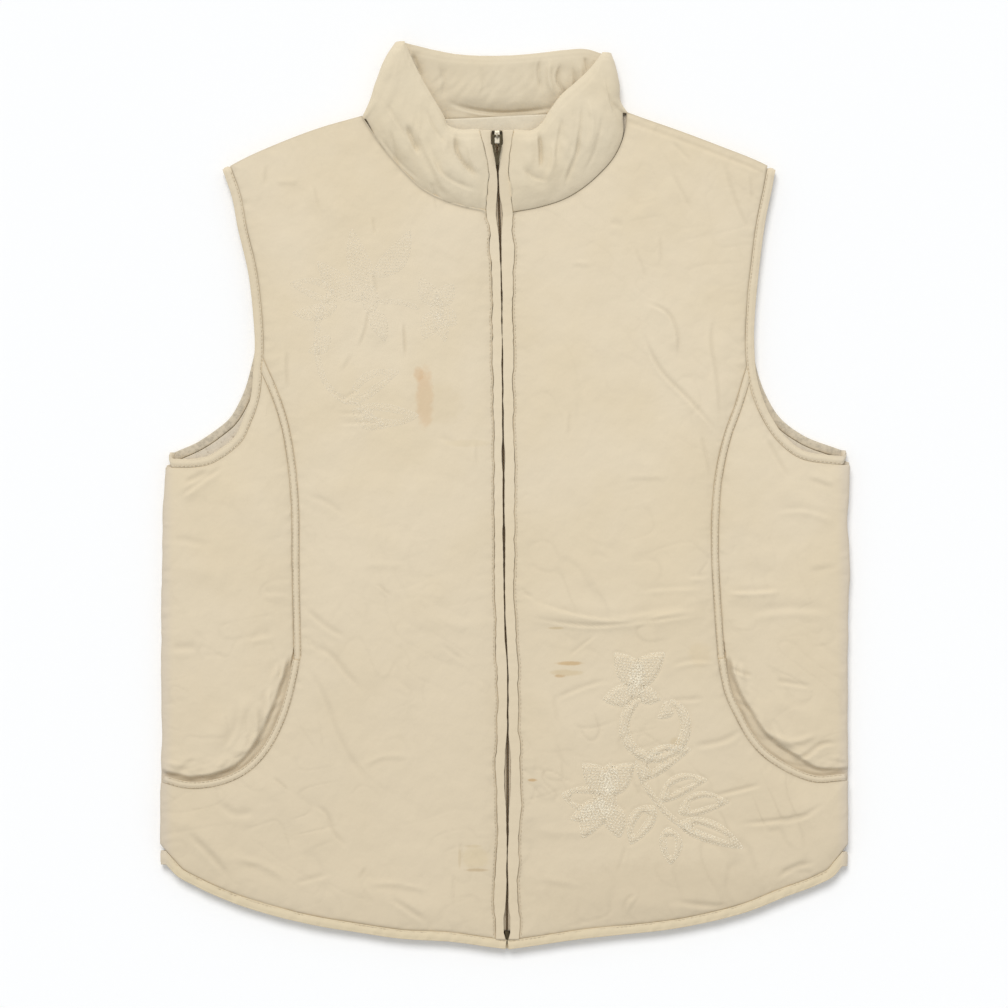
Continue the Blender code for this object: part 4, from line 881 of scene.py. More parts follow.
@dataclass(frozen=True)
class ClothFinish:
    """Brushed cotton cloth: its colour, its yellowed colour, its painted shade, weave and soiling."""

    name: str
    colour: Colour
    aged: Colour
    # painted shade: the colour the cloth darkens to towards the hem, at the seams and in the creases; the
    # random flecks are of it too
    shade: Colour
    crumple: float = 0.5
    stains: tuple[Stain, ...] = ()
    inside: Colour | None = None      # of the lining, where the mark "inside" is 1

    roughness, sheen = 0.88, 0.12
    # painted shade on the sides where they round away, between these two x
    rounded_side_shade = (0.2475, 0.2570)      # x in metres where the garment's sides round away
    weave = 0.55                      # distance between two threads

    def soiled(self, shader: Shader, colour: Wire, x: Wire, y: Wire) -> Wire:
        """The colour with each stain mixed in, its edge made ragged by noise."""
        ragged = shader.noise(shader.place(), 6, 5, 0.7)
        for stain in self.stains:
            dx, dy = (x - stain.x * MM) / (stain.wide * MM), (y - stain.y * MM) / (stain.tall * MM)
            spread = (dx * dx + dy * dy) + (ragged - 0.5) * 1.6
            colour = shader.mix((1 - spread.ramp(0.25, 1.25)) * stain.strength, colour, stain.colour)
        return colour

    def material(self) -> bpy.types.Material:
        """Cloth colour with clouds and flecks, grime and painted shade at the seams and in the creases,
        painted shade towards the hem and on the rounded sides, and stains, over crumples and a fine weave.
        """
        shader = Shader(self.name)
        place = shader.place()
        x, y, _ = shader.parts(place)
        clouds, fleck = shader.noise(place, 90, 3, 0.55), shader.noise(place, 1.6, 4, 0.7)
        colour = shader.mix(clouds.ramp(0.35, 0.7) * 0.55, self.colour, self.aged)
        # painted shade: darker towards the hem
        colour = shader.mix((1 - y.ramp(-0.33, 0.12)) * 0.75, colour, self.shade)
        colour = shader.mix(fleck.ramp(0.62, 0.8) * 0.18, colour, self.shade)
        # grime and painted shade where the seam mark is high: at the seams, in crease troughs, in pocket
        # mouths and inside the collar's back
        colour = shader.mix(shader.mark("seam") * 0.42, colour, [value * 0.72 for value in self.shade])
        colour = self.soiled(shader, colour, x, y)
        if self.inside:
            mottle = shader.noise(place, 3.5, 4, 0.7)
            lined = shader.mix(mottle.ramp(0.4, 0.7), self.inside, [value * 0.87 for value in self.inside])
            colour = shader.mix(shader.mark("inside"), colour, lined)
        low, high = self.rounded_side_shade
        # painted shade: a greyish tint on the sides where they round away
        colour = shader.mix((x * x).ramp(low ** 2, high ** 2) * 0.45, colour, (206, 195, 182))
        warp, weft = ((axis * (2 * math.pi / (self.weave * MM))).sine() for axis in (x, y))
        fuzz = shader.noise(place, 0.5, 3, 0.7)
        crumples = shader.noise(place, 9, 4, 0.55, (1, 0.8, 1)) + shader.noise(place, 26, 2, 0.5) * 1.4
        normal = shader.bump(crumples, 1.1, self.crumple)
        normal = shader.bump(warp * weft * 0.5 + fuzz, 0.06, 0.35, normal)
        return shader.wear(Base_Color=colour, Roughness=fleck * 0.1 + (self.roughness - 0.05),
                           Normal=normal, Sheen_Weight=self.sheen, Sheen_Roughness=0.5,
                           Specular_IOR_Level=0.25)


@dataclass(frozen=True)
class LiningFinish:
    """Greyish lining with brown specks, seen inside the armholes and neck."""

    name: str
    colour: Colour
    speck: Colour
    specks: float

    def material(self) -> bpy.types.Material:
        """Mottled colour over small crumples."""
        shader = Shader(self.name)
        place = shader.place()
        mottle, spots = shader.noise(place, 5, 4, 0.65), shader.noise(place, 2.2, 2, 0.5)
        colour = shader.mix(mottle.ramp(0.35, 0.7) * 0.5 * self.specks, self.colour,
                            [value * 0.9 for value in self.colour])
        colour = shader.mix(spots.ramp(0.6, 0.72) * 0.7 * self.specks, colour, self.speck)
        return shader.wear(Base_Color=colour, Roughness=mottle * 0.15 + 0.72, Sheen_Weight=0.1,
                           Normal=shader.bump(mottle, 0.8, 0.5), Specular_IOR_Level=0.25)


@dataclass(frozen=True)
class ThreadFinish:
    """Sewing or embroidery thread: glossier than the cloth, finely twisted."""

    name: str
    colour: Colour
    shade: Colour
    roughness: float

    def material(self) -> bpy.types.Material:
        """Uneven thread colour with a twist in the bump."""
        shader = Shader(self.name)
        place = shader.place()
        x, y, _ = shader.parts(place)
        uneven = shader.noise(place, 3, 2, 0.5)
        colour = shader.mix(uneven.ramp(0.35, 0.75), self.colour, self.shade)
        twist = ((x + y) * (2 * math.pi / (0.35 * MM))).sine()
        return shader.wear(Base_Color=colour, Roughness=uneven * 0.2 + (self.roughness - 0.1),
                           Normal=shader.bump(twist, 0.05, 0.4), Sheen_Weight=0.2)


@dataclass(frozen=True)
class MetalFinish:
    """Antiqued brass: dark in the hollows, rubbed brighter where hands touch it, with a painted highlight
    where a patch is given.
    """

    name: str
    dark: Colour
    rubbed: Colour
    roughness: float = 0.42
    metallic: float = 0.95
    # where a painted highlight is put, if anywhere
    patch: tuple[float, float, float, float] | None = None    # middle, half width and half height

    def material(self) -> bpy.types.Material:
        """Two metal colours between a cloudy wear mask, a painted highlight where a patch is given, and
        fine scratches.
        """
        shader = Shader(self.name)
        place = shader.place()
        cloud = shader.noise(place, 2.4, 4, 0.6)
        edge = shader.node("ShaderNodeNewGeometry", output="Pointiness")
        rub = (cloud.ramp(0.45, 0.75) * 0.5 + edge.ramp(0.5, 0.58) * 0.5)
        colour = shader.mix(rub, self.dark, self.rubbed)
        if self.patch:
            (x, y, _), (middle_x, middle_y, wide, tall) = shader.parts(place), self.patch
            dx, dy = (x - middle_x * MM) / (wide * MM), (y - middle_y * MM) / (tall * MM)
            # painted highlight: a pale patch on the slider, under the pull's ring
            painted_highlight = 1 - ((dx * dx) ** 2 + (dy * dy) ** 2 + cloud * 0.5).ramp(0.6, 1.2)
            colour = shader.mix(painted_highlight * 0.9, colour, (232, 222, 200))
        scratch = shader.noise(place, 0.5, 3, 0.6, (1, 0.15, 1))
        return shader.wear(Base_Color=colour, Metallic=self.metallic,
                           Normal=shader.bump(scratch, 0.05, 0.4),
                           Roughness=cloud * 0.25 + (self.roughness - 0.1))


SHELL = ClothFinish("shell", (229, 214, 187), (224, 207, 175), (217, 201, 173), crumple=0.6, stains=STAINS)
COLLAR_SHELL = ClothFinish("collar_shell", (227, 213, 186), (222, 206, 175), (214, 198, 170), crumple=0.7)
BINDING = ClothFinish("binding", (226, 211, 184), (221, 205, 175), (215, 199, 171), crumple=0.7)
ARMHOLE_CLOTH = ClothFinish("armhole_binding", BINDING.colour, BINDING.aged, BINDING.shade, crumple=0.7,
                            inside=(208, 195, 172))
HEM_CLOTH = ClothFinish("hem_binding", (229, 213, 182), (224, 207, 173), (219, 203, 172), crumple=0.8)
LINING = LiningFinish("lining", (209, 197, 177), (158, 140, 118), 0.8)
FACING = LiningFinish("facing", (226, 214, 190), (214, 200, 174), 0.4)
TAPE = LiningFinish("zip_tape", (202, 186, 160), (168, 150, 124), 0.5)
SEWING = ThreadFinish("sewing_thread", (222, 206, 178), (196, 180, 150), 0.6)
FLOSS = ThreadFinish("embroidery_floss", (253, 242, 217), (246, 233, 207), 0.6)
FAINT_FLOSS = ThreadFinish("worn_floss", (251, 239, 215), (246, 233, 208), 0.7)
METAL = MetalFinish("zip_metal", (46, 40, 31), (104, 94, 72))
# the slider's metal, with a painted highlight on its face
HIGHLIGHTED_SLIDER_METAL = MetalFinish("slider_metal_painted_highlight", (46, 40, 31), (104, 94, 72), patch=(-5.9, 268.5, 2.1, 8.0))
TEETH = MetalFinish("zip_teeth", (92, 72, 48), (142, 120, 90), 0.6, 0.4)

Finish = ClothFinish | LiningFinish | ThreadFinish | MetalFinish


class Wardrobe:
    """Keeps one material for each finish, and dresses pieces."""

    def __init__(self) -> None:
        """Starts with nothing made."""
        self.made: dict[str, bpy.types.Material] = {}

    def cloth(self, finish: Finish) -> bpy.types.Material:
        """The finish's material, made the first time it is asked for."""
        if finish.name not in self.made:
            self.made[finish.name] = finish.material()
        return self.made[finish.name]

    def dress(self, name: str, body: Body, finishes: Sequence[Finish],
              replaces: Sequence[str] = ()) -> bpy.types.Object:
        """Makes a piece of the object.

        Args:
            name: the piece's name.
            body: its points and faces.
            finishes: a finish for each material number.
            replaces: the CAD nodes that it stands for.
        """
        mesh = body.mesh(f"{name}_made")
        for finish in finishes:
            mesh.materials.append(self.cloth(finish))
        piece = bpy.data.objects.new(mesh.name, mesh)
        bpy.context.scene.collection.objects.link(piece)
        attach(piece, CLOTH_BODY)
        if replaces:
            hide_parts(*replaces)
        corners = sum(len(face) * (face.shape[1] - 2) for face in body.faces)
        LOG.info("%s: %d points, %d triangles", name, len(body.points), corners)
        return piece


# ---- embroidery shapes

@dataclass(frozen=True)
class Leaf:
    """A pointed leaf or petal, from base to tip, bent sideways by a share of its length."""

    base: Pair
    tip: Pair
    width: float
    bend: float = 0.0
    hollow: float = 0.0

    def loops(self) -> list[Array]:
        """Its outline, and the outline of the unstitched middle where it is hollow.

        The midrib is base + t run + 4 bend t (1 - t) aside. The half width is the full one
        times sin(pi t^0.8)^0.85.
        """
        base, run = np.array(self.base), np.subtract(self.tip, self.base)
        aside = np.array((-run[1], run[0]))
        t = np.linspace(0, 1, 22)[:, None]
        rib = base + t * run + 4 * self.bend * t * (1 - t) * aside
        half = self.width / 2 * np.abs(np.sin(math.pi * t ** 0.8)) ** 0.85
        left = aside / np.linalg.norm(aside)
        loops = [np.vstack([rib + half * left, (rib - half * left)[-2:0:-1]])]
        if self.hollow:
            keep = slice(5, 17)
            rib, half = rib[keep], half[keep] * self.hollow
            loops.append(np.vstack([rib + half * left, (rib - half * left)[::-1]]))
        return loops

    def heading(self) -> float:
        """Direction from base to tip in degrees."""
        return math.degrees(math.atan2(self.tip[1] - self.base[1], self.tip[0] - self.base[0]))


@dataclass(frozen=True)
class Ribbon:
    """A stem or scroll of even width along a curve, thinning at its ends."""

    line: tuple[Pair, ...]
    width: float

    def loops(self) -> list[Array]:
        """Its outline: the curve moved to either side by half the width, eased to its ends."""
        line = smooth_curve(self.line, 2.5)
        share = np.linspace(0, 1, len(line))
        half = self.width / 2 * (0.35 + 0.65 * ease(share, 0, 0.12) * ease(1 - share, 0, 0.12))
        return [np.vstack([beside(line, half), beside(line, -half)[::-1]])]

    def heading(self) -> float:
        """A slanted direction, since a curve has no one heading."""
        return 20.0


def arc(centre: Pair, radius: float, start: float, end: float, count: int = 16) -> tuple[Pair, ...]:
    """Points round a circle between two angles in degrees."""
    turn = np.radians(np.linspace(start, end, count))
    return tuple((centre[0] + radius * math.cos(a), centre[1] + radius * math.sin(a)) for a in turn)


def disc(centre: Pair, radius: float) -> Ribbon:
    """A round flower middle, as a short fat ribbon."""
    (x, y), reach = centre, radius * 0.6
    return Ribbon(((x - reach, y), (x + reach, y)), 2 * radius)


LOWER_SPRAY = (
    Leaf((98, -143), (82, -117), 19, -0.08), Leaf((99, -143), (120, -117), 19, 0.1),
    Leaf((97, -143), (73, -152), 16, 0.1), Leaf((100, -144), (117, -152), 13, -0.1),
    Leaf((98, -141), (100, -122), 12), disc((98, -143), 9),
    Ribbon(arc((112.5, -172.5), 23.2, 112, 420, 26), 7.4), Leaf((121, -153), (114, -166), 10, 0.3),
    Ribbon(((98, -198), (103, -212), (112, -226), (124, -240), (140, -250), (158, -256)), 4),
    Leaf((101, -212), (140, -189), 19, 0.12, 0.34), Leaf((116, -228), (152, -212), 16, 0.12, 0.36),
    Leaf((130, -237), (168, -229), 17, 0.1, 0.45), Leaf((129, -245), (179, -264), 17, 0.06, 0.3),
    Leaf((122, -248), (124, -276), 17, 0.06, 0.4), Leaf((112, -232), (94, -261), 19, -0.08, 0.3),
    Leaf((76, -224), (58, -200), 19, -0.08), Leaf((78, -223), (97, -200), 19, 0.08),
    Leaf((77, -222), (79, -199), 14), Leaf((74, -227), (42, -223), 19, 0.05, 0.5),
    Leaf((76, -229), (58, -256), 19, -0.08), Leaf((79, -230), (86, -256), 17),
    Leaf((74, -228), (49, -242), 14, 0.05), disc((77, -227), 11))
UPPER_SPRAY = (
    Leaf((-100, 153), (-115, 201), 17, 0.05), Leaf((-98, 165), (-71, 200), 17, -0.1),
    Leaf((-104, 148), (-141, 177), 17, 0.08), Leaf((-126, 147), (-162, 160), 15, -0.08, 0.4),
    Leaf((-126, 143), (-160, 138), 12, 0.08), disc((-101, 148), 10),
    Ribbon(((-97, 146), (-80, 146), (-64, 141)), 3.4), Leaf((-52, 143), (-64, 164), 14),
    Leaf((-50, 143), (-39, 160), 14), Leaf((-50, 140), (-36, 129), 14), Leaf((-52, 139), (-61, 118), 14),
    Leaf((-50, 138), (-45, 116), 11), disc((-51, 141), 8), Leaf((-101, 141), (-90, 116), 13, 0.06),
    Ribbon(((-129, 156), (-138, 140), (-141, 122), (-140, 102), (-132, 82), (-120, 72), (-108, 69)), 3.8),
    Leaf((-131, 120), (-148, 108), 11, 0.1), Leaf((-116, 70), (-79, 94), 17, 0.1, 0.35),
    Leaf((-110, 66), (-64, 61), 17, -0.06, 0.35), Leaf((-114, 66), (-88, 52), 12, -0.1))


def spray_relief(points: Array, spray: Sequence[Leaf | Ribbon], rise: float) -> Array:
    """How stitching raises and pinches the padded cloth around it.

    Inside a shape the cloth stands up by rise, eased over its first 2.4 mm; along its
    outline it is drawn down by a narrow bell.
    """
    total = np.zeros(len(points))
    for shape in spray:
        loops = shape.loops()
        low, high = loops[0].min(axis=0) - 6, loops[0].max(axis=0) + 6
        near = np.flatnonzero(np.all((points > low) & (points < high), axis=1))
        if not len(near):
            continue
        local = points[near]
        away = nearest(local, loops[0], True)[0]
        within = inside(local, loops[0])
        if len(loops) > 1:
            away = np.minimum(away, nearest(local, loops[1], True)[0])
            within &= ~inside(local, loops[1])
        change = np.where(within, rise * ease(away, 0, 2.4), 0.0) - 0.5 * rise * np.exp(-(away / 1.3) ** 2)
        total[near] = np.where(np.abs(change) > np.abs(total[near]), change, total[near])
    return total


def hatch(loops: Sequence[Array], angle: float, spacing: float, longest: float) -> tuple[Array, Array]:
    """Parallel stitches that fill a shape.

    The shape is turned so that the stitches run along X. Each row's crossings with its
    edges are sorted and taken in pairs, and each pair is cut into stitches no longer
    than the longest, started at a different place in each row.

    Returns:
        x and y of the starts and of the ends.
    """
    c, s = math.cos(math.radians(angle)), math.sin(math.radians(angle))
    turn = np.array(((c, -s), (s, c)))
    a = np.vstack([loop @ turn for loop in loops])
    b = np.vstack([np.roll(loop @ turn, -1, axis=0) for loop in loops])
    starts, ends = [], []
    for number, y in enumerate(np.arange(a[:, 1].min() + spacing / 2, a[:, 1].max(), spacing)):
        hit = (a[:, 1] > y) != (b[:, 1] > y)
        p, q = a[hit], b[hit]
        x = np.sort(p[:, 0] + (y - p[:, 1]) * (q[:, 0] - p[:, 0]) / (q[:, 1] - p[:, 1]))
        for low, high in zip(x[::2], x[1::2]):
            if high - low < 0.8:
                continue
            first = low + longest * (0.35 + 0.4 * (number % 3) / 2)
            cuts = np.concatenate([[low], np.arange(first, high - 0.5, longest), [high]])
            starts.append(stacked(cuts[:-1], y))
            ends.append(stacked(cuts[1:], y))
    if not starts:
        return np.zeros((0, 2)), np.zeros((0, 2))
    return np.vstack(starts) @ turn.T, np.vstack(ends) @ turn.T


# ---- seams

class Seams:
    """Seam lines of one half, at a fine step."""

    def __init__(self, side: Side, step: float = 4.0) -> None:
        """Reads the tables of that half."""
        self.side = side
        (self.shoulder, self.armhole, self.back_armhole, self.seam, self.hem, self.strip, self.pocket,
         self.neck) = (smooth_curve(table[side], step) for table in (
             SHOULDER, ARMHOLE, BACK_ARMHOLE, SIDE_SEAM, HEM, STRIP, POCKET, NECK))
        wander, quiver = Ripple((1, 15), 95 + side.out), Ripple((1, 6), 97)
        self.seam[:, 0] += 0.5 * wander(self.seam) + 0.2 * quiver(self.seam)
        self.groove = smooth_curve(CENTRE_FRONT[::-1, [side.pick(3, 4), 0]], 1.5)
        place = stacked(self.groove[:, 1])
        self.groove[:, 0] += 0.8 * Ripple((11, 1), 91 + side.out)(place) + 0.35 * Ripple((4, 1), 94)(place)

    def inner(self, line: Array, distance: float, before: float = 0.0, after: float = 0.0) -> Array:
        """A seam line moved towards the centre front, with straight ends added."""
        return extend(beside(line, -self.side.out * distance), before, after)


SEAMS = {side: Seams(side) for side in Side}


def fold_height(points: Array) -> Array:
    """Height that the soft folds add: a bell across each fold's straight line."""
    total = np.zeros(len(points))
    for x0, y0, x1, y1, height, half in FOLDS:
        start, run = np.array((x0, y0)), np.array((x1 - x0, y1 - y0))
        along = (points - start) @ run / (run @ run)
        away = np.linalg.norm(points - start - np.clip(along, 0, 1)[:, None] * run, axis=1)
        taper = ease(along, -0.05, 0.2) * ease(1 - along, -0.05, 0.2)
        total += height * taper * np.exp(-(away / half) ** 2)
    return total


@dataclass(frozen=True)
class Wadding:
    """The padded cloth's rise between seams, with its lumps, puckers and creases."""

    creases: tuple[Crease, ...]
    seed: int
    crinkle: float = 0.42

    lumps, pucker = 0.38, 0.42

    def crinkles(self, points: Array) -> Array:
        """Fine troughs along the lines where slow waves cross zero, more of them lower down.

        exp(-(wave / 0.1)^2) is a thin line along each crossing. A second wave masks it,
        so that the lines come and go.
        """
        total = np.zeros(len(points))
        for number, (size, turn) in enumerate((((30, 11), 12), ((22, 9), -35), ((13, 26), 20))):
            wave = Ripple(size, self.seed + 50 + number, turn)(points)
            mask = ease(Ripple((36, 36), self.seed + 60 + number)(points), 0.0, 0.6)
            total -= np.exp(-(wave / 0.1) ** 2) * mask
        return self.crinkle * total * (0.3 + 0.7 * (1 - ease(points[:, 1], -170, 40)))

    def folds(self, points: Array) -> Array:
        """Height that creases and crinkles add."""
        return sum((crease.relief(points) for crease in self.creases), self.crinkles(points))

    def rise(self, points: Array, depth: Array, along: Array) -> Array:
        """Height above the panel's floor.

        The padding rises as 1 - exp(-depth / reach). Slow lumps, two crossed sets of
        faint waves and the creases ride on it. Puckers run square to the seam and fade
        with depth. The last 0.8 mm rolls over into the seam.

        Args:
            points: x and y of each point.
            depth: distance in from the panel's edge.
            along: distance round the edge to the nearest place on it.
        """
        risen = 1 - np.exp(-depth / LEVEL.reach)
        sway = 0.4 * np.sin(points[:, 0] / 31 + 0.8) * np.sin(points[:, 1] / 47)
        full = LEVEL.full - LEVEL.seam + sway + fold_height(points)
        lumps = (self.lumps * Ripple((34, 27), self.seed)(points)
                 + 0.7 * self.lumps * Ripple((11, 15), self.seed + 1, 25)(points)
                 + 0.22 * self.lumps * Ripple((5, 8), self.seed + 2, -30)(points))
        total = LEVEL.seam + risen * (full + lumps)
        edge = stacked(along, depth)
        tucks = Ripple((5.2, 13), self.seed + 3)(edge) + 0.6 * Ripple((2.9, 9), self.seed + 4)(edge)
        total += self.pucker * tucks * np.exp(-depth / 7.0) * ease(depth, 0.0, 1.6)
        total += self.folds(points) * ease(depth, 0.3, 3.5)
        roll = 1 - np.clip(depth / 0.8, 0, 1)
        return total - 0.38 * (1 - np.sqrt(1 - roll ** 2 * 0.999))


# ---- panels

class Panel:
    """A padded panel.

    Attributes:
        edges: bottom and top from left to right, then left and right from bottom to top.
        finishes: of the panel, and of the lid over its far side where that differs.
        under: True where the sheet is the panel's underside.
    """

    name: str
    rows: int
    columns: int
    wadding: Wadding
    edges: Four
    finishes: tuple[Finish, ...] = (SHELL,)
    under = False
    lies: dict[str, list[str]] = {"rests_on": ["back"]}

    def heights(self, points: Array) -> Array:
        """Height of the sheet above the table at each x and y."""
        raise NotImplementedError

    def outline(self) -> Array:
        """The panel's edge as one closed line."""
        bottom, top, left, right = self.edges
        return np.vstack([bottom[:-1], right[:-1], top[::-1][:-1], left[::-1][:-1]])

    def depth(self, points: Array) -> tuple[Array, Array]:
        """Distance in from the edge, and how far round the edge."""
        away, along, _ = nearest(points, even(np.vstack([self.outline(), self.outline()[:1]]), 420))
        return away, along

    def line(self, points: Array) -> Array:
        """How dark the grime and painted shade at the panel's seam are at each place."""
        return np.full(len(points), 0.45)

    def shade(self, points: Array) -> Array | float:
        """Painted shade besides that at the seams and in the creases."""
        return 0.0

    def grime_and_shade(self, points: Array) -> Array:
        """Grime and painted shade: most at the panel's seam and in the troughs of its creases."""
        depth = self.depth(points)[0]
        troughs = np.clip(-self.wadding.folds(points), 0, 1)
        return np.exp(-depth / 0.9) * self.line(points) + np.exp(-depth / 12.0) * 0.12 + 0.5 * troughs

    def floor(self, rim: Array) -> Array:
        """Height of the panel's underside along its rim."""
        return np.full(len(rim), LEVEL.floor)

    def walls(self, rim: Array) -> list[tuple[Array, float]]:
        """The rings that the rim is walled down by: their heights, and how far in they stand."""
        floor = self.floor(rim)
        return [(rim[:, 2] - 0.3, -0.26), (floor + 0.4, -0.2), (floor, 0.35)]

    def make(self, wardrobe: Wardrobe) -> bpy.types.Object:
        """Builds and dresses the panel."""
        flat = patch(*self.edges, self.rows, self.columns)
        sheet = np.dstack([flat, self.heights(flat.reshape(-1, 2)).reshape(flat.shape[:2])])
        rim = sheet.reshape(-1, 3)[grid_ring(self.rows, self.columns)]
        body = tray(sheet, self.walls(rim), self.under, len(self.finishes) - 1)
        points = body.points[:, :2]
        # the seam mark: grime and painted shade
        body.marks["seam"] = self.grime_and_shade(points) + self.shade(points)
        piece = wardrobe.dress(self.name, body, self.finishes, [self.name])
        return piece


class Front(Panel):
    """A padded centre front, from shoulder to hem, lapping over the pocket bag."""

    rows, columns = 470, 196

    def __init__(self, side: Side) -> None:
        """Cuts the eight seam lines round the panel to meet, and groups them in four edges."""
        self.side, self.name = side, f"front_{side.value}"
        self.seams = s = SEAMS[side]
        self.wadding = Wadding(FRONT_CREASES, *side.pick((11, 0.24), (21, 0.5)))
        self.relief = side.pick((UPPER_SPRAY, 0.12), (LOWER_SPRAY, 0.75))
        self.lap_line = extend(s.pocket, before=WIDTH.bag + GAP)
        groove = s.groove.copy()
        groove[:, 0] += side.out * GAP
        neck, shoulder, armhole, strip, pocket, seam, hem, groove = trimmed(
            s.inner(s.neck, GAP, before=6), s.shoulder,
            s.inner(s.armhole, WIDTH.armhole_band + GAP, before=20),
            s.inner(s.strip, WIDTH.strip / 2 + GAP, before=20),
            s.inner(s.pocket, WIDTH.pocket_band / 2 + GAP, after=20), s.seam,
            s.inner(s.hem, WIDTH.hem + GAP, before=20, after=10), groove)
        outer, inner = np.vstack([armhole, strip, pocket, seam])[::-1], np.vstack([groove, neck])
        self.edges = (side.pick(hem, hem[::-1]), side.pick(shoulder[::-1], shoulder),
                      *side.pick((outer, inner), (inner, outer)))

    def lap(self, points: Array, low: float, high: float) -> Array:
        """1 near the pocket's mouth, 0 beyond the high distance from it."""
        return 1 - ease(nearest(points, self.lap_line)[0], low, high)

    def heights(self, points: Array) -> Array:
        """Floor, wadding, the rise over the pocket bag, and the embroidery's relief."""
        depth, along = self.depth(points)
        rise = self.wadding.rise(points, depth, along)
        total = LEVEL.floor + rise + LEVEL.lap_rise * self.lap(points, 6.0, 75.0)
        return total + spray_relief(points, *self.relief) + self.shoulder_ditch(points, depth)

    def line(self, points: Array) -> Array:
        """Fainter where the hem's binding covers the seam and along the strip, darker along the neck, where
        it paints the collar's shadow.
        """
        near_neck = 1 - ease(nearest(points, self.seams.neck)[0], 1.0, 4.0)
        near_strip = 1 - ease(nearest(points, self.seams.strip)[0], WIDTH.strip, 2 * WIDTH.strip)
        clear_of_hem = ease(nearest(points, self.seams.hem)[0], WIDTH.hem + 1, WIDTH.hem + 6)
        return 0.2 + 0.5 * clear_of_hem + 0.7 * near_neck - 0.35 * near_strip

    def shoulder_ditch(self, points: Array, depth: Array) -> Array:
        """The left shoulder's seam, which lies 6 mm down the front of the padding."""
        if self.side is Side.RIGHT:
            return np.zeros(len(points))
        away = nearest(points, self.seams.shoulder)[0]
        return -0.9 * np.exp(-((away - 6.4) / 1.3) ** 2) * ease(depth, 1.0, 4.0)

    def floor(self, rim: Array) -> Array:
        """The underside steps up over the pocket bag."""
        return LEVEL.floor + (LEVEL.pocket_floor - LEVEL.floor) * self.lap(rim[:, :2], *WIDTH.lap)


class SideFront(Panel):
    """A padded side front, which runs on flat behind the pocket mouth."""

    rows, columns = 280, 86

    def __init__(self, side: Side) -> None:
        """Sets out the panel of one half."""
        self.side, self.name = side, f"side_{side.value}"
        self.wadding = Wadding(SIDE_CREASES, side.pick(31, 41), 0.3)
        s = SEAMS[side]
        strip = s.inner(s.strip, -(WIDTH.strip / 2 + GAP), before=20)
        strip = np.vstack([strip, strip[-1] + (0, -4)])
        bag = extend(beside(s.pocket, -side.out * WIDTH.bag), after=20)
        armhole, strip, bag, seam = trimmed(
            s.inner(s.armhole, WIDTH.armhole_band + GAP, after=20)[::-1], strip, bag, s.seam[::-1])
        bend = len(bag) * 2 // 5
        inner, bag = np.vstack([strip, bag[:bend + 1]])[::-1], bag[bend:]
        self.edges = (side.pick(bag[::-1], bag), side.pick(armhole, armhole[::-1]),
                      *side.pick((seam, inner), (inner, seam)))
        mouth = beside(s.pocket, side.out * (WIDTH.pocket_band / 2 + WIDTH.mouth_margin))
        self.mouth = extend(mouth, before=WIDTH.bag, after=WIDTH.bag)

    def from_mouth(self, points: Array) -> tuple[Array, Array, Array]:
        """How far beyond the pocket's mouth, how far along it, and 1 clear of its upper end."""
        away, travelled, left = nearest(points, self.mouth)
        return self.side.out * left * away, travelled, ease(travelled, WIDTH.bag - 2, WIDTH.bag + 8)

    def gape(self, travelled: Array) -> Array:
        """How far the mouth stands open at each distance along it."""
        share = (travelled - WIDTH.bag) / (line_length(self.mouth) - 2 * WIDTH.bag)
        return np.interp(share, *GAPE[self.side])

    def heights(self, points: Array) -> Array:
        """Floor, then the bag, then the wadding beyond the pocket mouth."""
        depth, along = self.depth(points)
        beyond, travelled, start = self.from_mouth(points)
        padding = np.maximum(self.wadding.rise(points, depth, along) - LEVEL.bag, 0)
        run = stacked(beyond, travelled)
        crumples = (1.3 * np.abs(Ripple((5.5, 17), 51, 12)(run)) + 0.6 * Ripple((3.2, 8), 52, -15)(run)
                    + 0.5 * Ripple((8, 10), 53, 30)(points))
        crumples *= ease(beyond, -1, 2) * (1 - ease(beyond, 6, 22)) * ease(depth, 0, 4) * start
        gape = self.gape(travelled)
        closed = np.where(beyond < 0, 0, 1 - start * (1 - ease(beyond, gape, gape + 3.5)))
        return LEVEL.floor + LEVEL.bag + padding * closed + crumples

    def shade(self, points: Array) -> Array:
        """Painted shade in the mouth of the pocket, deepest at the band."""
        beyond, travelled, start = self.from_mouth(points)
        within = 0.4 * (1 - ease(beyond, self.gape(travelled), self.gape(travelled) + 2.0))
        return np.where(beyond > -6, start * (within + 0.5 * np.exp(-np.abs(beyond) / 1.0)), 0)


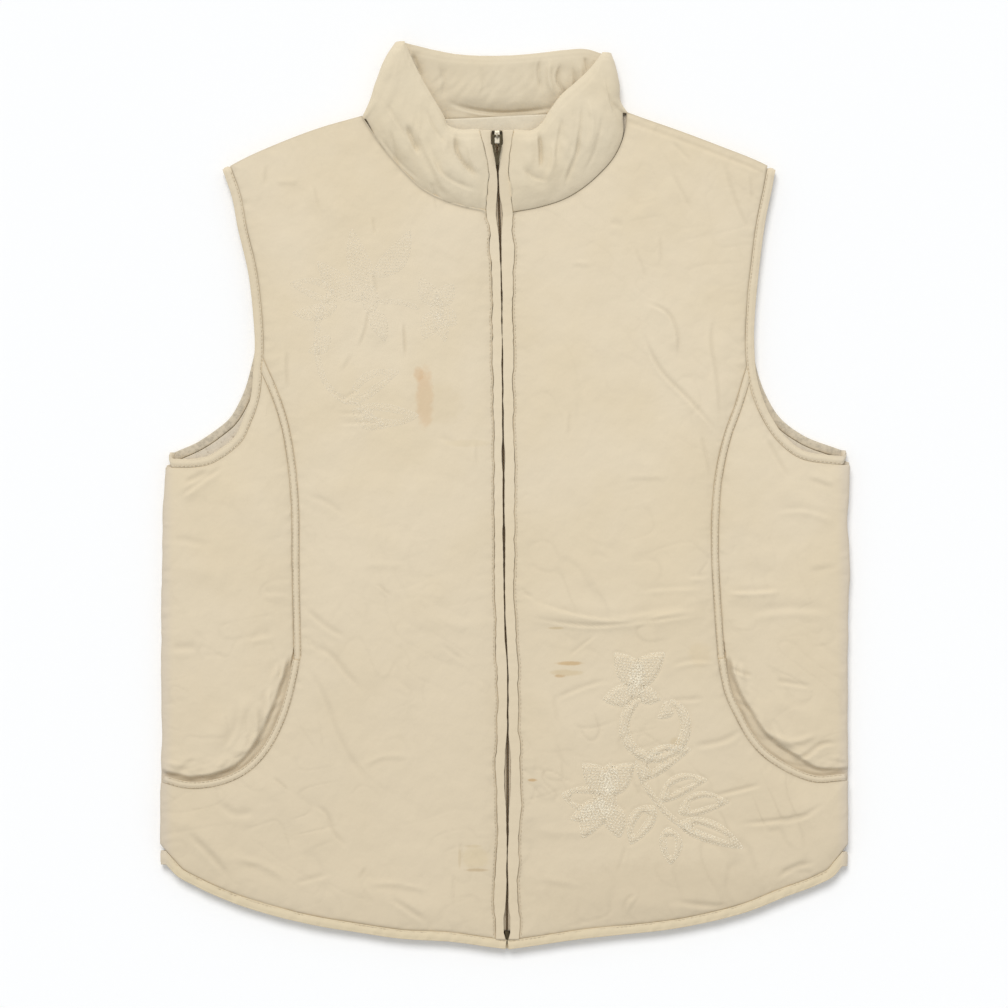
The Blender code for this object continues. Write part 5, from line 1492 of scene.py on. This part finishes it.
class Back(Panel):
    """The padded back, under the fronts: its outer face is down, its lining up."""

    name = "back"
    rows, columns = 230, 190
    finishes, under, lies = (SHELL, LINING), True, {}

    def __init__(self) -> None:
        """Sets out the panel."""
        right, left = SEAMS[Side.RIGHT], SEAMS[Side.LEFT]
        band = WIDTH.armhole_band + GAP
        neck = beside(smooth_curve(BACK_NECK, 4.0), -GAP)
        self.wadding = Wadding(BACK_CREASES, 61)
        (neck, shoulder_r, armhole_r, seam_r, hem_r, hem_l, seam_l, armhole_l, shoulder_l) = trimmed(
            neck[::-1], right.shoulder, right.inner(right.back_armhole, band, 20, 20), right.seam,
            right.inner(right.hem, WIDTH.hem + GAP, before=20),
            left.inner(left.hem, WIDTH.hem + GAP, before=20)[::-1], left.seam[::-1],
            left.inner(left.back_armhole, band, 20, 20)[::-1], left.shoulder[::-1])
        upper = np.vstack([shoulder_r[::-1], neck[::-1], shoulder_l[::-1]])
        self.edges = (np.vstack([hem_r, hem_l]), upper, np.vstack([armhole_r, seam_r])[::-1],
                      np.vstack([seam_l, armhole_l]))

    def heights(self, points: Array) -> Array:
        """The underside: on the table, curved up at its rim, with creases that stand clear of it."""
        depth, along = self.depth(points)
        rim = LEVEL.rim * (1 - np.clip(depth / LEVEL.rim_reach, 0, 1)) ** 2
        tucks = (Ripple((5.2, 13), 63)(stacked(along, depth)) * 0.4
                 * np.exp(-depth / 7.0) * ease(depth, 0.5, 3.0))
        folds = np.maximum(sum(crease.relief(points) for crease in self.wadding.creases), 0)
        lumps = 0.25 * np.maximum(Ripple((36, 28), 61)(points) - 0.1, 0)
        return np.maximum(rim + tucks + (folds + lumps) * ease(depth, 0, 6), 0)

    def walls(self, rim: Array) -> list[tuple[Array, float]]:
        """The rings that the rim is walled up by, to the lining."""
        top = np.full(len(rim), LEVEL.back_top)
        return [(rim[:, 2] * 0.4 + top * 0.6, -0.05), (top - 0.25, 0.0), (top, 0.4)]


class NeckFacing:
    """The strip of lining inside the back neck."""

    ends: Pair = (-99.0, 85.0)

    def make(self, wardrobe: Wardrobe) -> bpy.types.Object:
        """A sheet between the neck seam and the strip's lower edge, with small crumples."""
        seam = beside(smooth_curve(BACK_NECK, 2.0), -GAP)
        seam = seam[(seam[:, 0] > self.ends[0]) & (seam[:, 0] < self.ends[1])]
        low = smooth_curve(FACING_EDGE, 2.0)
        rows, columns = 26, 150
        v = np.linspace(0, 1, rows)[:, None, None]
        flat = (1 - v) * even(low, columns)[None] + v * even(seam, columns)[None]
        points = flat.reshape(-1, 2)
        wave = 0.22 * (Ripple((7, 5), 71)(points) + 1)
        high = (LEVEL.floor + LEVEL.facing + wave).reshape(rows, columns)
        floor = np.full(2 * (rows + columns) - 4, LEVEL.floor)
        body = tray(np.dstack([flat, high]), [(floor + 0.6, -0.1), (floor, 0.1)])
        piece = wardrobe.dress("neck_facing", body, [FACING], ["neck_facing"])
        return piece


# ---- bands

@dataclass
class Run:
    """A stretch of band: its middle line, its inward and its outward-facing directions."""

    middles: Array
    across: Array
    through: Array

    @staticmethod
    def flat(line: Array, height: float, up: float = 1.0) -> "Run":
        """A level stretch that faces up, or down where up is -1."""
        aside = to_the_left(headings(line)) * up
        return Run(stacked(line, height), stacked(aside), repeated((0.0, 0.0, up), line))

    @staticmethod
    def turned(front: Array, back: Array, ahead: Array, aside: Array) -> "Run":
        """The bend that carries a band round an edge, from its front to its back.

        Its middle goes half round a circle whose radius is half the levels' difference.
        """
        radius = (LEVEL.band_high - LEVEL.band_low) / 2
        angle = np.linspace(0, math.pi, 12)[1:-1, None]
        through = np.sin(angle) * (*ahead, 0.0) + np.cos(angle) * UP
        flat = front + ease(angle, 0, math.pi / 2) * (back - front)
        middle = stacked(flat, (LEVEL.band_high + LEVEL.band_low) / 2)
        return Run(middle + radius * through, repeated((*aside, 0.0), angle), through)

    def reversed(self) -> "Run":
        """The same stretch, run the other way."""
        return Run(self.middles[::-1], self.across[::-1], self.through[::-1])

    @staticmethod
    def joined(runs: Sequence["Run"]) -> "Run":
        """Several stretches as one."""
        return Run(*(np.vstack([getattr(run, name) for run in runs])
                     for name in ("middles", "across", "through")))


@dataclass
class Band:
    """A sewn strip of folded cloth, drawn into little tucks by its stitches."""

    name: str
    run: Run
    width: float | Array
    wall: float | Array
    seed: int
    closed: bool = False
    tuck: float = 0.09
    power: float = 4.0
    slant: float = 0.0
    # how dark the grime and painted shade along the band's two edges are
    mark: float = 0.2
    lined: Array | None = None        # share of lining on the inner face, at each section

    def body(self) -> Body:
        """A rounded oblong carried along the run; its thickness and width waver by tucks."""
        middles = self.run.middles
        travelled = travel(middles)
        profile = soft_profile(18, self.power)
        slanted = travelled[:, None] + self.slant * (profile[:, 0] * np.mean(self.width))[None]
        spots = stacked(slanted.ravel(), np.tile(profile[:, 0] * 3, len(middles)))
        tucks = 0.65 * Ripple((3.4, 9), self.seed)(spots) + 0.5 * Ripple((7.5, 12), self.seed + 1)(spots)
        tucks = tucks.reshape(slanted.shape)
        if self.closed:
            tucks *= (ease(travelled, 0, 6) * ease(travelled[-1] - travelled, 0, 6))[:, None]
        sway = 0.035 * Ripple((13, 1), self.seed + 2)(stacked(travelled))
        shares = np.tile(profile, (len(middles), 1, 1))
        upper = shares[..., 1] > 0
        shares[..., 1] = np.where(upper, shares[..., 1] * (1 + self.tuck * tucks), shares[..., 1])
        shares[..., 0] *= (1 + sway)[:, None]
        dent = 0.16 * np.exp(-((np.abs(profile[:, 0]) - 0.36) / 0.07) ** 2)
        shares[..., 1] -= np.where(upper, dent[None], 0)
        width, wall = (np.broadcast_to(value, len(middles))[:, None] for value in (self.width, self.wall))
        normal = np.cross(self.run.across, self.run.through)
        if np.median(np.einsum("ij,ij->i", normal, np.gradient(middles, axis=0))) < 0:
            shares = shares[:, ::-1]
        body = sweep(middles, self.run.across * width, self.run.through * wall, shares, self.closed)
        # the seam mark: grime and painted shade along both edges
        body.marks["seam"] = np.clip((np.abs(shares[..., 0]) - 0.4) / 0.1, 0, 1).ravel() * self.mark
        if self.lined is not None:
            inner_face = np.clip(0.5 - shares[..., 1] / 0.2, 0, 1)
            body.marks["inside"] = (self.lined[:, None] * inner_face).ravel()
        return body

    def make(self, wardrobe: Wardrobe, finish: Finish = BINDING, slot: str = "binding") -> bpy.types.Object:
        piece = wardrobe.dress(self.name, self.body(), [finish], [self.name])
        return piece


def armhole_band(side: Side) -> Band:
    """One bound ring: down the front armhole, under the arm and up the back one."""
    seams, inward = Seams(side, 1.8), -side.out
    front, back = (beside(line, inward * WIDTH.armhole_band / 2)
                   for line in (seams.armhole, seams.back_armhole))
    back = back[::-1]
    ahead_front, ahead_back = headings(front), headings(back)
    down, up = Run.flat(front, LEVEL.band_high), Run.flat(back, LEVEL.band_low, -1.0)
    down.across *= inward
    up.across *= inward
    under = Run.turned(front[-1], back[0], ahead_front[-1], down.across[-1, :2])
    over = Run.turned(front[0], back[-1], ahead_back[-1], up.across[-1, :2]).reversed()
    lined = np.concatenate([np.zeros(len(front)), np.linspace(0, 1, len(under.middles)),
                            np.ones(len(back)), np.linspace(1, 0, len(over.middles))])
    return Band(f"armhole_band_{side.value}", Run.joined([down, under, up, over]), WIDTH.armhole_band,
                LEVEL.band_wall, side.pick(101, 111), closed=True, lined=lined)


def hem_rails(side: Side, count: int = 300) -> tuple[Array, Array]:
    """The hem band's outer and inner rail on one side, cut where they meet the side's edge."""
    hem = Seams(side, 1.2).hem
    turn = (LEVEL.band_high - LEVEL.band_low) / 2
    x = side.out * (abs(SIDE_SEAM[side][-1][0]) - turn - 1.4)
    edge = np.array(((x, -200.0), (x, -300.0)))
    rails = []
    for reach in (0.0, WIDTH.hem):
        rail = extend(beside(hem, -side.out * reach), before=24)
        point, first, _ = crossing(rail, edge)
        rails.append(even(np.vstack([point, rail[first + 1:]]), count))
    return rails[0], rails[1]


def hem_binding() -> Band:
    """One strip: from the zip out to one side, under, along the back and round again.

    Each section runs from the outer to the inner rail, so the ends lie along the sides.
    """
    runs, widths = {}, {}
    for side in Side:
        outer, inner = hem_rails(side)
        widths[side] = np.linalg.norm(inner - outer, axis=1)
        across, middle = stacked((inner - outer) / widths[side][:, None]), (outer + inner) / 2
        front, back = (Run(stacked(middle, height), across, repeated(facing, middle))
                       for height, facing in ((LEVEL.band_high, UP), (LEVEL.band_low, DOWN)))
        turn = Run.turned(middle[0], middle[0], (side.out, 0.0), across[0, :2])
        runs[side] = (front.reversed(), turn, back)
        widths[side] = np.concatenate([widths[side][::-1], np.full(len(turn.middles), widths[side][0]),
                                       widths[side]])
    right, left = runs[Side.RIGHT], tuple(run.reversed() for run in runs[Side.LEFT][::-1])
    run = Run.joined([*right, *left])
    width = np.concatenate([widths[Side.RIGHT], widths[Side.LEFT][::-1]])
    return Band("hem_binding", run, width, LEVEL.band_wall, 121, tuck=0.34, power=6.0, slant=0.7, mark=0.05)


def rail_band(name: str, first: Array, second: Array, low: float | Array, high: float | Array,
              seed: int, power: float) -> Band:
    """A band between two flat rails, from one height to another."""
    wide = np.linalg.norm(second - first, axis=1)
    tall = (high - low) * np.ones(len(first))
    run = Run(stacked((first + second) / 2, (low + high) / 2), stacked((second - first) / wide[:, None]),
              repeated(UP, first))
    return Band(name, run, wide, tall, seed, power=power)


def seam_strip(side: Side) -> Band:
    """The raised strip on the curved front seam, cut off at the armhole band."""
    seams, half = Seams(side, 1.8), WIDTH.strip / 2
    rails = [seams.inner(seams.strip, reach, before=20, after=2.9) for reach in (-half, half)]
    band = seams.inner(seams.armhole, WIDTH.armhole_band)
    cuts = [crossing(rail, band) for rail in rails]
    first = max(cut[1] for cut in cuts) + 1
    rails = [even(np.vstack([cut[0], rail[first:]]), 126) for rail, cut in zip(rails, cuts)]
    return rail_band(f"seam_strip_{side.value}", *rails, LEVEL.floor, LEVEL.floor + LEVEL.strip,
                     side.pick(131, 141), power=5.0)


def pocket_band(side: Side) -> Band:
    """The bound mouth of the pocket, on the centre front's edge."""
    seams, half = Seams(side, 1.8), WIDTH.pocket_band / 2
    rails = [extend(beside(seams.pocket, reach), after=2.6) for reach in (-half, half)]
    return rail_band(f"pocket_band_{side.value}", *rails, LEVEL.pocket_floor,
                     LEVEL.pocket_floor + LEVEL.pocket_band, side.pick(151, 161), power=4.0)


def placket(side: Side) -> Band:
    """The folded facing that covers half of the zip."""
    y = np.linspace(CENTRE_FRONT[0, 0], PLACKET_FOOT, 460)
    groove = Seams(side, 1.6).groove[::-1]
    outer = np.column_stack([np.interp(-y, -groove[:, 1], groove[:, 0]), y])
    middle = smooth_curve(CENTRE_FRONT[:, :3], 1.6)
    x, half = (np.interp(-y, -rows[:, 0], rows[:, 1]) for rows in (middle, OPENING))
    half += 0.22 * Ripple((9, 1), 177 + side.out)(stacked(y)) + 0.12 * Ripple((3, 1), 179)(stacked(y))
    low, high = (LEVEL.floor + LEVEL.lift(y) + level for level in LEVEL.placket)
    return rail_band(f"placket_{side.value}", outer, np.column_stack([x + side.out * half, y]), low, high,
                     side.pick(171, 181), power=7.0)


# ---- collar

class Collar:
    """The padded stand: leaf, fold, back, fold, leaf, with the creases of each."""

    leaf_creases = folded((
        (-1.6, 2.2, -74.5, 279, -69, 266, -64, 256), (-0.7, 2.2, -86.3, 277, -80.3, 245),
        (-1.7, 1.8, -36.6, 274, -36, 257.8, -31.5, 250.3, -18.8, 237.5), (-0.6, 2, -56, 236, -51, 222),
        (0.9, 4, -74.3, 286.5, -63.8, 268.5, -53.8, 248.5, -45.8, 232.5, -33.8, 222.5),
        (-0.7, 2.4, -55.8, 262, -48.8, 244.5, -28, 232, -18, 229),
        (0.8, 3, -28, 270, -24, 250, -16, 240), (-1.8, 1.8, 25.2, 274, 26.6, 258, 26.6, 243.8),
        (-0.8, 2, 12, 248, 19.5, 240.5, 33, 236),
        (-0.9, 2.2, 55.5, 276, 53.3, 256.3, 48, 242.8, 44, 229.3), (0.8, 3.4, 62, 300, 66, 276, 62, 256),
        (0.8, 3.4, 36, 268, 36, 250, 30, 234), (-0.5, 2, -91, 297, -80, 280, -70, 263),
        (-0.5, 2, -97, 274, -80, 252, -60, 234), (-0.5, 1.8, -60, 292, -52, 274, -42, 262),
        (-0.6, 1.8, 58, 297, 56, 272, 53, 250), (-0.5, 2, 74, 289, 68, 262, 58, 240),
        (-0.5, 1.8, 44, 286, 40, 268, 38, 250)))
    back_creases = folded((
        (-0.9, 1.5, 27, 331, 24.8, 320, 27.8, 303),
        (-1.5, 1.6, 42.5, 327, 39.4, 313, 46.3, 301.3, 50.5, 294),
        (-1, 1.5, 50.5, 324, 52.5, 311, 50, 299), (-0.9, 1.4, 59.5, 331, 62.5, 318),
        (0.9, 3, 34, 330, 33, 314, 37, 299), (0.8, 2.6, 57, 328, 57, 314, 55, 303),
        (-0.6, 2, -50, 326, -46, 310, -48, 298), (-0.4, 2.2, -20, 324, -16, 308, -20, 298),
        (-1.5, 1.6, -70.5, 335, -66.5, 324, -62, 313),
        (-1.8, 2.4, -46, 299, -38, 294.5, -23.3, 290.6, -6.8, 288.6, 16, 289.4, 40, 292.5)))
    rows, tall = 54, 60

    def __init__(self) -> None:
        """Reads the collar's rows at a fine step, closer together at the seam and the top."""
        table = smooth_curve(COLLAR_ROWS, 0.12)
        self.share = (1 - np.cos(np.linspace(0, math.pi, self.rows))) / 2
        self.share = 0.5 * self.share + 0.5 * np.linspace(0, 1, self.rows)
        self.wall, self.high, self.low = (np.interp(self.share, table[:, 0], table[:, column])
                                          for column in (1, 2, 3))

    @staticmethod
    def pressed(creases: Sequence[Crease], flat: Array) -> Array:
        """How deep the creases press in at each place of a grid of x and y."""
        points = flat[..., :2].reshape(-1, 2)
        return -sum(crease.relief(points) for crease in creases).reshape(flat.shape[:2])

    def fold_start(self, side: Side) -> Array:
        """x and y of the middle line that the fold at one side turns round, up its height."""
        edge = read_line(smooth_curve(FOLD_EDGE[side], 1.0), self.share)
        edge[:, 0] -= side.out * ((self.high - self.low) / 2 + self.wall / 2)
        return edge

    def turn(self, side: Side) -> Four:
        """Middles, outward directions, walls and relief where the collar folds under at one side."""
        radius = (self.high - self.low) / 2
        angle = np.linspace(0, math.pi, 22)[1:-1]
        outward = np.stack([side.out * np.sin(angle), 0 * angle, np.cos(angle)], axis=1)
        middle = stacked(self.fold_start(side), (self.high + self.low) / 2)
        middles = middle[None] + radius[None, :, None] * outward[:, None]
        wall = repeated(self.wall, angle)
        return middles, outward, wall, np.zeros_like(wall)

    def leaf(self, side: Side) -> Four:
        """The same for the leaf on one side of the zip, from the zip out to the fold."""
        bottom = smooth_curve(NECK[side], NECK_STEP)
        place = travel(bottom)
        place /= place[-1]
        top = read_line(smooth_curve(LEAF_TOP[side], 1.0), place)
        share = self.share[None, :, None]
        flat = bottom[:, None] + share * (top - bottom)[:, None]
        groove = SEAMS[side].groove
        y = bottom[0, 1] + self.share * (groove[-1, 1] - bottom[0, 1])
        edge = np.column_stack([np.interp(y, groove[:, 1], groove[:, 0]) + side.out * 0.2, y])
        near = (1 - ease(place, 0.0, 0.09))[:, None, None]
        flat += near * (edge - flat[0])[None]
        flat += (ease(place, 0.75, 1.0) ** 2)[:, None, None] * (self.fold_start(side) - flat[-1])[None]
        wall = self.wall[None] * (COLLAR_EDGE_WALL + (1 - COLLAR_EDGE_WALL) * ease(place, 0, 0.08))[:, None]
        middles = np.dstack([flat, repeated(self.high, place)])
        pressed = self.pressed(self.leaf_creases, middles) * ease(1 - place, 0.02, 0.12)[:, None]
        return middles, repeated(UP, place), wall, pressed

    def back(self) -> Four:
        """The same for the back of the collar, its outer face down on the table."""
        bottom = smooth_curve(BACK_NECK, NECK_STEP)
        place = np.linspace(0, 1, len(bottom))
        top = read_line(smooth_curve(BACK_COLLAR_TOP, 1.5), place)
        flat = bottom[:, None] + self.share[None, :, None] * (top - bottom)[:, None]
        for fade, side in ((1 - ease(place, 0, 0.14), Side.RIGHT), (ease(place, 0.86, 1), Side.LEFT)):
            flat += fade[:, None, None] * (self.fold_start(side) - flat[side.pick(0, -1)])[None]
        middles = np.dstack([flat, repeated(self.low, place)])
        pressed = self.pressed(self.back_creases, middles)
        return middles, repeated(DOWN, place), repeated(self.wall, place), pressed

    def body(self) -> Body:
        """The collar as sections round one loop each: outer face up the height, inner face down.

        A point is its middle + or - half the wall times the outward direction. Creases
        press in the face that shows. Tucks stand along both seams, and the top is closed
        by a half round.
        """
        parts = [self.leaf(Side.RIGHT), self.turn(Side.RIGHT), self.back()]
        parts += [tuple(array[::-1] for array in part)
                  for part in (self.turn(Side.LEFT), self.leaf(Side.LEFT))]
        middles, outward, wall, pressed = (np.concatenate(arrays) for arrays in zip(*parts))
        along, up = np.meshgrid(travel(middles[:, self.rows // 2]), self.share * self.tall, indexing="ij")
        place = stacked(along.ravel(), up.ravel())
        lumps = (0.7 * Ripple((17, 26), 81)(place) + 0.5 * Ripple((7, 21), 82, 14)(place)
                 + 0.4 * Ripple((4, 9), 83, -20)(place)).reshape(along.shape)
        tucks = Ripple((4.2, 16), 84)(place).reshape(along.shape)
        seam = np.exp(-self.share * self.tall / 7)[None]
        relief = lumps * np.sin(math.pi * np.clip(self.share, 0.04, 0.9)) + 0.45 * tucks * seam - pressed
        facing_down = outward[:, 2:3] < -0.5
        outer = middles + (wall / 2 + np.where(facing_down, 0, relief))[..., None] * outward[:, None]
        inner = middles - (wall / 2 + np.where(facing_down, relief, 0))[..., None] * outward[:, None]
        turn = np.linspace(0, math.pi, 7)[1:-1]
        middle, half = (outer[:, -1] + inner[:, -1]) / 2, (outer[:, -1] - inner[:, -1]) / 2
        rise = middles[:, -1] - middles[:, -2]
        rise[:, 2] = 0
        rise /= np.maximum(np.linalg.norm(rise, axis=1), 1e-6)[:, None]
        bulge = np.linalg.norm(half, axis=1)[:, None] * 0.9
        cap = np.stack([middle + math.cos(a) * half + math.sin(a) * bulge * rise for a in turn], axis=1)
        body = tube(np.concatenate([outer, cap, inner[:, ::-1]], axis=1), flip=True)
        share = np.concatenate([self.share, np.ones(len(turn)), self.share[::-1]])
        # painted shade inside the collar's back, deepest towards its two ends
        ends = np.minimum(*(np.abs(along[:, 0] - along[facing_down[:, 0]][k, 0]) for k in (0, -1)))
        inner_face = np.where(facing_down, 0.22 + 0.6 * np.exp(-ends / 20)[:, None], 0)
        # painted shade in the troughs of the creases
        troughs = np.clip(pressed, 0, 2)
        troughs = np.hstack([troughs, np.zeros((len(troughs), len(turn))), troughs[:, ::-1]]) * 0.22
        # the seam mark: painted shade along the neck seam, inside the back and in the troughs
        body.marks["seam"] = (np.exp(-share * self.tall / 1.2)[None] * 0.9 + inner_face + troughs).ravel()
        return body

    def make(self, wardrobe: Wardrobe) -> bpy.types.Object:
        """Builds and dresses the collar."""
        piece = wardrobe.dress("collar", self.body(), [COLLAR_SHELL], ["collar"])
        return piece


# ---- zip

class Zip:
    """The tapes, the chain of teeth and the box at its foot."""

    pitch = 2.2
    tooth = (1.5, 1.15, 1.7)      # across, along and through the zip
    foot, head = ZIP_BOX_Y + GAP, SLIDER_Y - 6.0

    def centre(self, y: Array) -> Array:
        """x of the zip's middle at each y."""
        return np.interp(y, CENTRE_FRONT[::-1, 0], CENTRE_FRONT[::-1, 1])

    def tape(self, side: Side) -> Band:
        """One woven tape, under a placket."""
        y = np.linspace(-338.0, 273.0, 300)
        x = self.centre(y)
        near, far = (stacked(x + side.out * reach, y) for reach in WIDTH.tape)
        floor = LEVEL.floor + LEVEL.lift(y) + 0.2
        return rail_band(f"zip_tape_{side.value}", near, far, floor, floor + 1.0, 191, power=5.0)

    def chain(self) -> Body:
        """Two rows of teeth that alternate across the zip, on two corded edges.

        Each tooth is a block with its inner end narrowed to a nose.
        """
        y = np.arange(self.foot + 1.0, self.head - 1.0, self.pitch / 2)
        out = np.where(np.arange(len(y)) % 2, 1.0, -1.0)
        wide, long, tall = self.tooth
        shape = np.array([(a, s * b, t) for a, b, ends in ((-0.25, 0.5, (0, 1)), (0.85, 0.5, (0, 1)),
                                                           (-0.62, 0.28, (0.12, 0.88)))
                          for s in (-1, 1) for t in ends])
        x, floor = self.centre(y), LEVEL.floor + LEVEL.lift(y) + 0.2
        points = np.stack([x[:, None] + out[:, None] * shape[None, :, 0] * wide / 2,
                           y[:, None] + out[:, None] * shape[None, :, 1] * long,
                           floor[:, None] + shape[None, :, 2] * tall], axis=2)
        quads = np.array([(4, 6, 7, 5), (0, 4, 5, 1), (2, 3, 7, 6), (1, 5, 7, 3), (0, 2, 6, 4),
                          (8, 0, 1, 9), (10, 11, 3, 2), (9, 1, 3, 11), (8, 10, 2, 0), (8, 9, 11, 10)])
        base = 12 * np.arange(len(y))[:, None, None]
        return Body(points.reshape(-1, 3), [(quads[None] + base).reshape(-1, 4)])

    def cords(self) -> Body:
        """The beaded edges of the tapes that the teeth are clamped on."""
        y = np.linspace(self.foot, self.head, 380)
        x, height = self.centre(y), LEVEL.floor + LEVEL.lift(y) + 1.0
        across, through = repeated((-1.9, 0, 0), y), repeated((0, 0, 1.5), y)
        return Body.joined([sweep(np.column_stack([x + out * 1.75, y, height]), across, through,
                                  soft_profile(10, 2.2)) for out in (-1, 1)])

    def make(self, wardrobe: Wardrobe) -> None:
        """Builds and dresses the pieces."""
        tapes = Body.joined([self.tape(side).body() for side in Side])
        tapes = wardrobe.dress("zip_tapes", tapes, [TAPE], ["zip_tape_right", "zip_tape_left"])
        wardrobe.dress("zip_teeth", self.chain(), [TEETH], ["zip_chain"])
        wardrobe.dress("zip_cords", self.cords(), [TAPE])
        for name in ("zip_box", "zip_slider", "zip_pull"):
            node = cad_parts[name]
            node.data.materials.clear()
            node.data.materials.append(wardrobe.cloth(HIGHLIGHTED_SLIDER_METAL if name == "zip_slider" else METAL))
            edge = node.modifiers.new("worn_edges", "BEVEL")
            edge.width, edge.segments, edge.limit_method = 0.35 * MM, 2, "ANGLE"


# ---- stitching

class Stitching:
    """Rows of stitches along the seams and bands, and the embroidery."""

    length, space, radius = 2.4, 0.7, 0.24
    apart, inset = 1.9, 1.1           # off a seam's line, and in from a band's edge
    placket_rows: Pair = (-330, 212)  # heights that the rows by the plackets run between

    def __init__(self, fronts: dict[Side, Front]) -> None:
        """Keeps the panels whose heights the stitches lie on."""
        self.fronts = fronts

    def row(self, line: Array, height: Callable[[Array], Array] | float) -> Body:
        """Stitches end to end along a line."""
        pitch = self.length + self.space
        count = max(int(line_length(line) / pitch), 1)
        rise = (lambda points: np.full(len(points), height)) if isinstance(height, float) else height
        flat = [read_line(line, (np.arange(count) + offset) / count)
                for offset in (0, self.length / pitch)]
        return threads(*(stacked(points, rise(points)) for points in flat), self.radius, 0.12)

    def seams(self) -> Body:
        """Every visible row: plackets, strips, pocket mouths, armholes and hem."""
        rows = []
        strip = LEVEL.floor + LEVEL.strip - 0.55
        lip = LEVEL.pocket_floor + LEVEL.pocket_band - 0.45
        band = LEVEL.band_high + LEVEL.band_wall / 2 - 0.55
        low, high = self.placket_rows
        for side in Side:
            seams = Seams(side, 2.0)
            groove = seams.groove[seams.groove[:, 1] < high] + (side.out * 1.7, 0)
            rows.append(self.row(groove[groove[:, 1] > low], self.fronts[side].heights))
            for line, height in ((seams.strip[6:], strip), (seams.pocket, lip)):
                rows += [self.row(beside(line, reach), height) for reach in (-self.apart, self.apart)]
            rows += [self.row(beside(line, -side.out * (width - self.inset)), band)
                     for line, width in ((seams.armhole, WIDTH.armhole_band), (seams.hem, WIDTH.hem))]
        return Body.joined(rows)

    def spray(self, shapes: Sequence[Leaf | Ribbon], front: Front, spacing: float, radius: float,
              sunk: float) -> Body:
        """The embroidery: a lattice of slanted stitches in each shape and a row round its edge."""
        starts, ends = [], []
        for shape in shapes:
            loops = shape.loops()
            pairs = [hatch(loops, shape.heading() + 90 + slant, spacing, 3.2) for slant in (38.0, -38.0)]
            for loop in loops:
                ring = np.vstack([loop, loop[:1]])
                places = even(ring, max(int(line_length(ring) / 2.2), 3))
                pairs.append((places[:-1], places[1:]))
            starts += [pair[0] for pair in pairs]
            ends += [pair[1] for pair in pairs]
        both = np.vstack(starts + ends)
        starts, ends = np.split(stacked(both, front.heights(both) + 0.05 - sunk), 2)
        return threads(starts, ends, radius, 0.1 - sunk / 2, 0.5)

    def make(self, wardrobe: Wardrobe) -> None:
        """Builds and dresses the stitches."""
        wardrobe.dress("seam_stitches", self.seams(), [SEWING])
        lower = self.spray(LOWER_SPRAY, self.fronts[Side.LEFT], 2.1, 0.26, 0.0)
        wardrobe.dress("embroidery_lower", lower, [FLOSS])
        upper = self.spray(UPPER_SPRAY, self.fronts[Side.RIGHT], 2.3, 0.16, 0.07)
        wardrobe.dress("embroidery_upper", upper, [FAINT_FLOSS])


# ---- studio

class Studio:
    """A white table, soft light from beyond the collar, and the camera straight above."""

    view = 756.0                  # width of what the camera sees on the table
    aim: Pair = (-0.75, -5.5)
    height, film = 3200.0, 36.0   # of the camera: above the table, and its film's width
    table = 3.0                   # half the table's width in metres

    def make(self) -> None:
        """Builds the floor, the lights and the camera."""
        scene = bpy.context.scene
        shader = Shader("table")
        fine = shader.noise(shader.place(), 3, 2.0, 0.5)
        table = shader.wear(Base_Color=(0.97, 0.97, 0.97, 1.0), Roughness=fine * 0.05 + 0.85,
                            Emission_Color=(1.0, 1.0, 1.0, 1.0), Emission_Strength=0.035)
        mesh = bpy.data.meshes.new("table_top")
        corners = ((-1, -1), (1, -1), (1, 1), (-1, 1))
        mesh.from_pydata([(x * self.table, y * self.table, 0) for x, y in corners], [], [(0, 1, 2, 3)])
        mesh.materials.append(table)
        floor = bpy.data.objects.new("table_top", mesh)
        floor.location.z = -0.0004
        scene.collection.objects.link(floor)
        world = bpy.data.worlds.new("studio")
        world.use_nodes = True
        sky = world.node_tree.nodes["Background"]
        sky.inputs["Color"].default_value = (0.95, 0.975, 1.0, 1.0)
        sky.inputs["Strength"].default_value = 0.55
        scene.world = world
        self.sun((-0.25, 1.0, 1.5), 1.74)
        scene.view_settings.view_transform = "Standard"
        eye = bpy.data.cameras.new("camera")
        eye.sensor_width = self.film
        eye.lens = self.film * (self.height - 10) / self.view
        eye.clip_end = 20.0
        camera = bpy.data.objects.new("camera", eye)
        camera.location = (self.aim[0] * MM, self.aim[1] * MM, self.height * MM)
        scene.collection.objects.link(camera)
        scene.camera = camera

    def sun(self, towards: tuple[float, float, float], strength: float) -> None:
        """A wide soft sun that shines from a direction: R = Rz(turn) Rx(tilt) of its own -Z."""
        light = bpy.data.lights.new("window", "SUN")
        light.angle, light.energy = math.radians(28), strength
        light.color = (1.0, 0.99, 0.975)
        made = bpy.data.objects.new("window", light)
        x, y, z = np.array(towards) / np.linalg.norm(towards)
        made.rotation_euler = (math.acos(z), 0.0, math.atan2(x, -y))
        made.location = (x, y, z)
        bpy.context.scene.collection.objects.link(made)


# ---- the whole garment

def main() -> None:
    """Builds every piece in order."""
    logging.basicConfig(level=logging.INFO, format="%(name)s %(message)s")
    wardrobe = Wardrobe()
    Studio().make()
    Back().make(wardrobe)
    NeckFacing().make(wardrobe)
    fronts = {side: Front(side) for side in Side}
    for side in Side:
        fronts[side].make(wardrobe)
        SideFront(side).make(wardrobe)
        armhole_band(side).make(wardrobe, ARMHOLE_CLOTH)
        for band in (seam_strip(side), pocket_band(side)):
            band.make(wardrobe)
        placket(side).make(wardrobe, SHELL, "shell")
    hem_binding().make(wardrobe, HEM_CLOTH)
    Collar().make(wardrobe)
    Zip().make(wardrobe)
    Stitching(fronts).make(wardrobe)


if __name__ == "__main__":
    main()
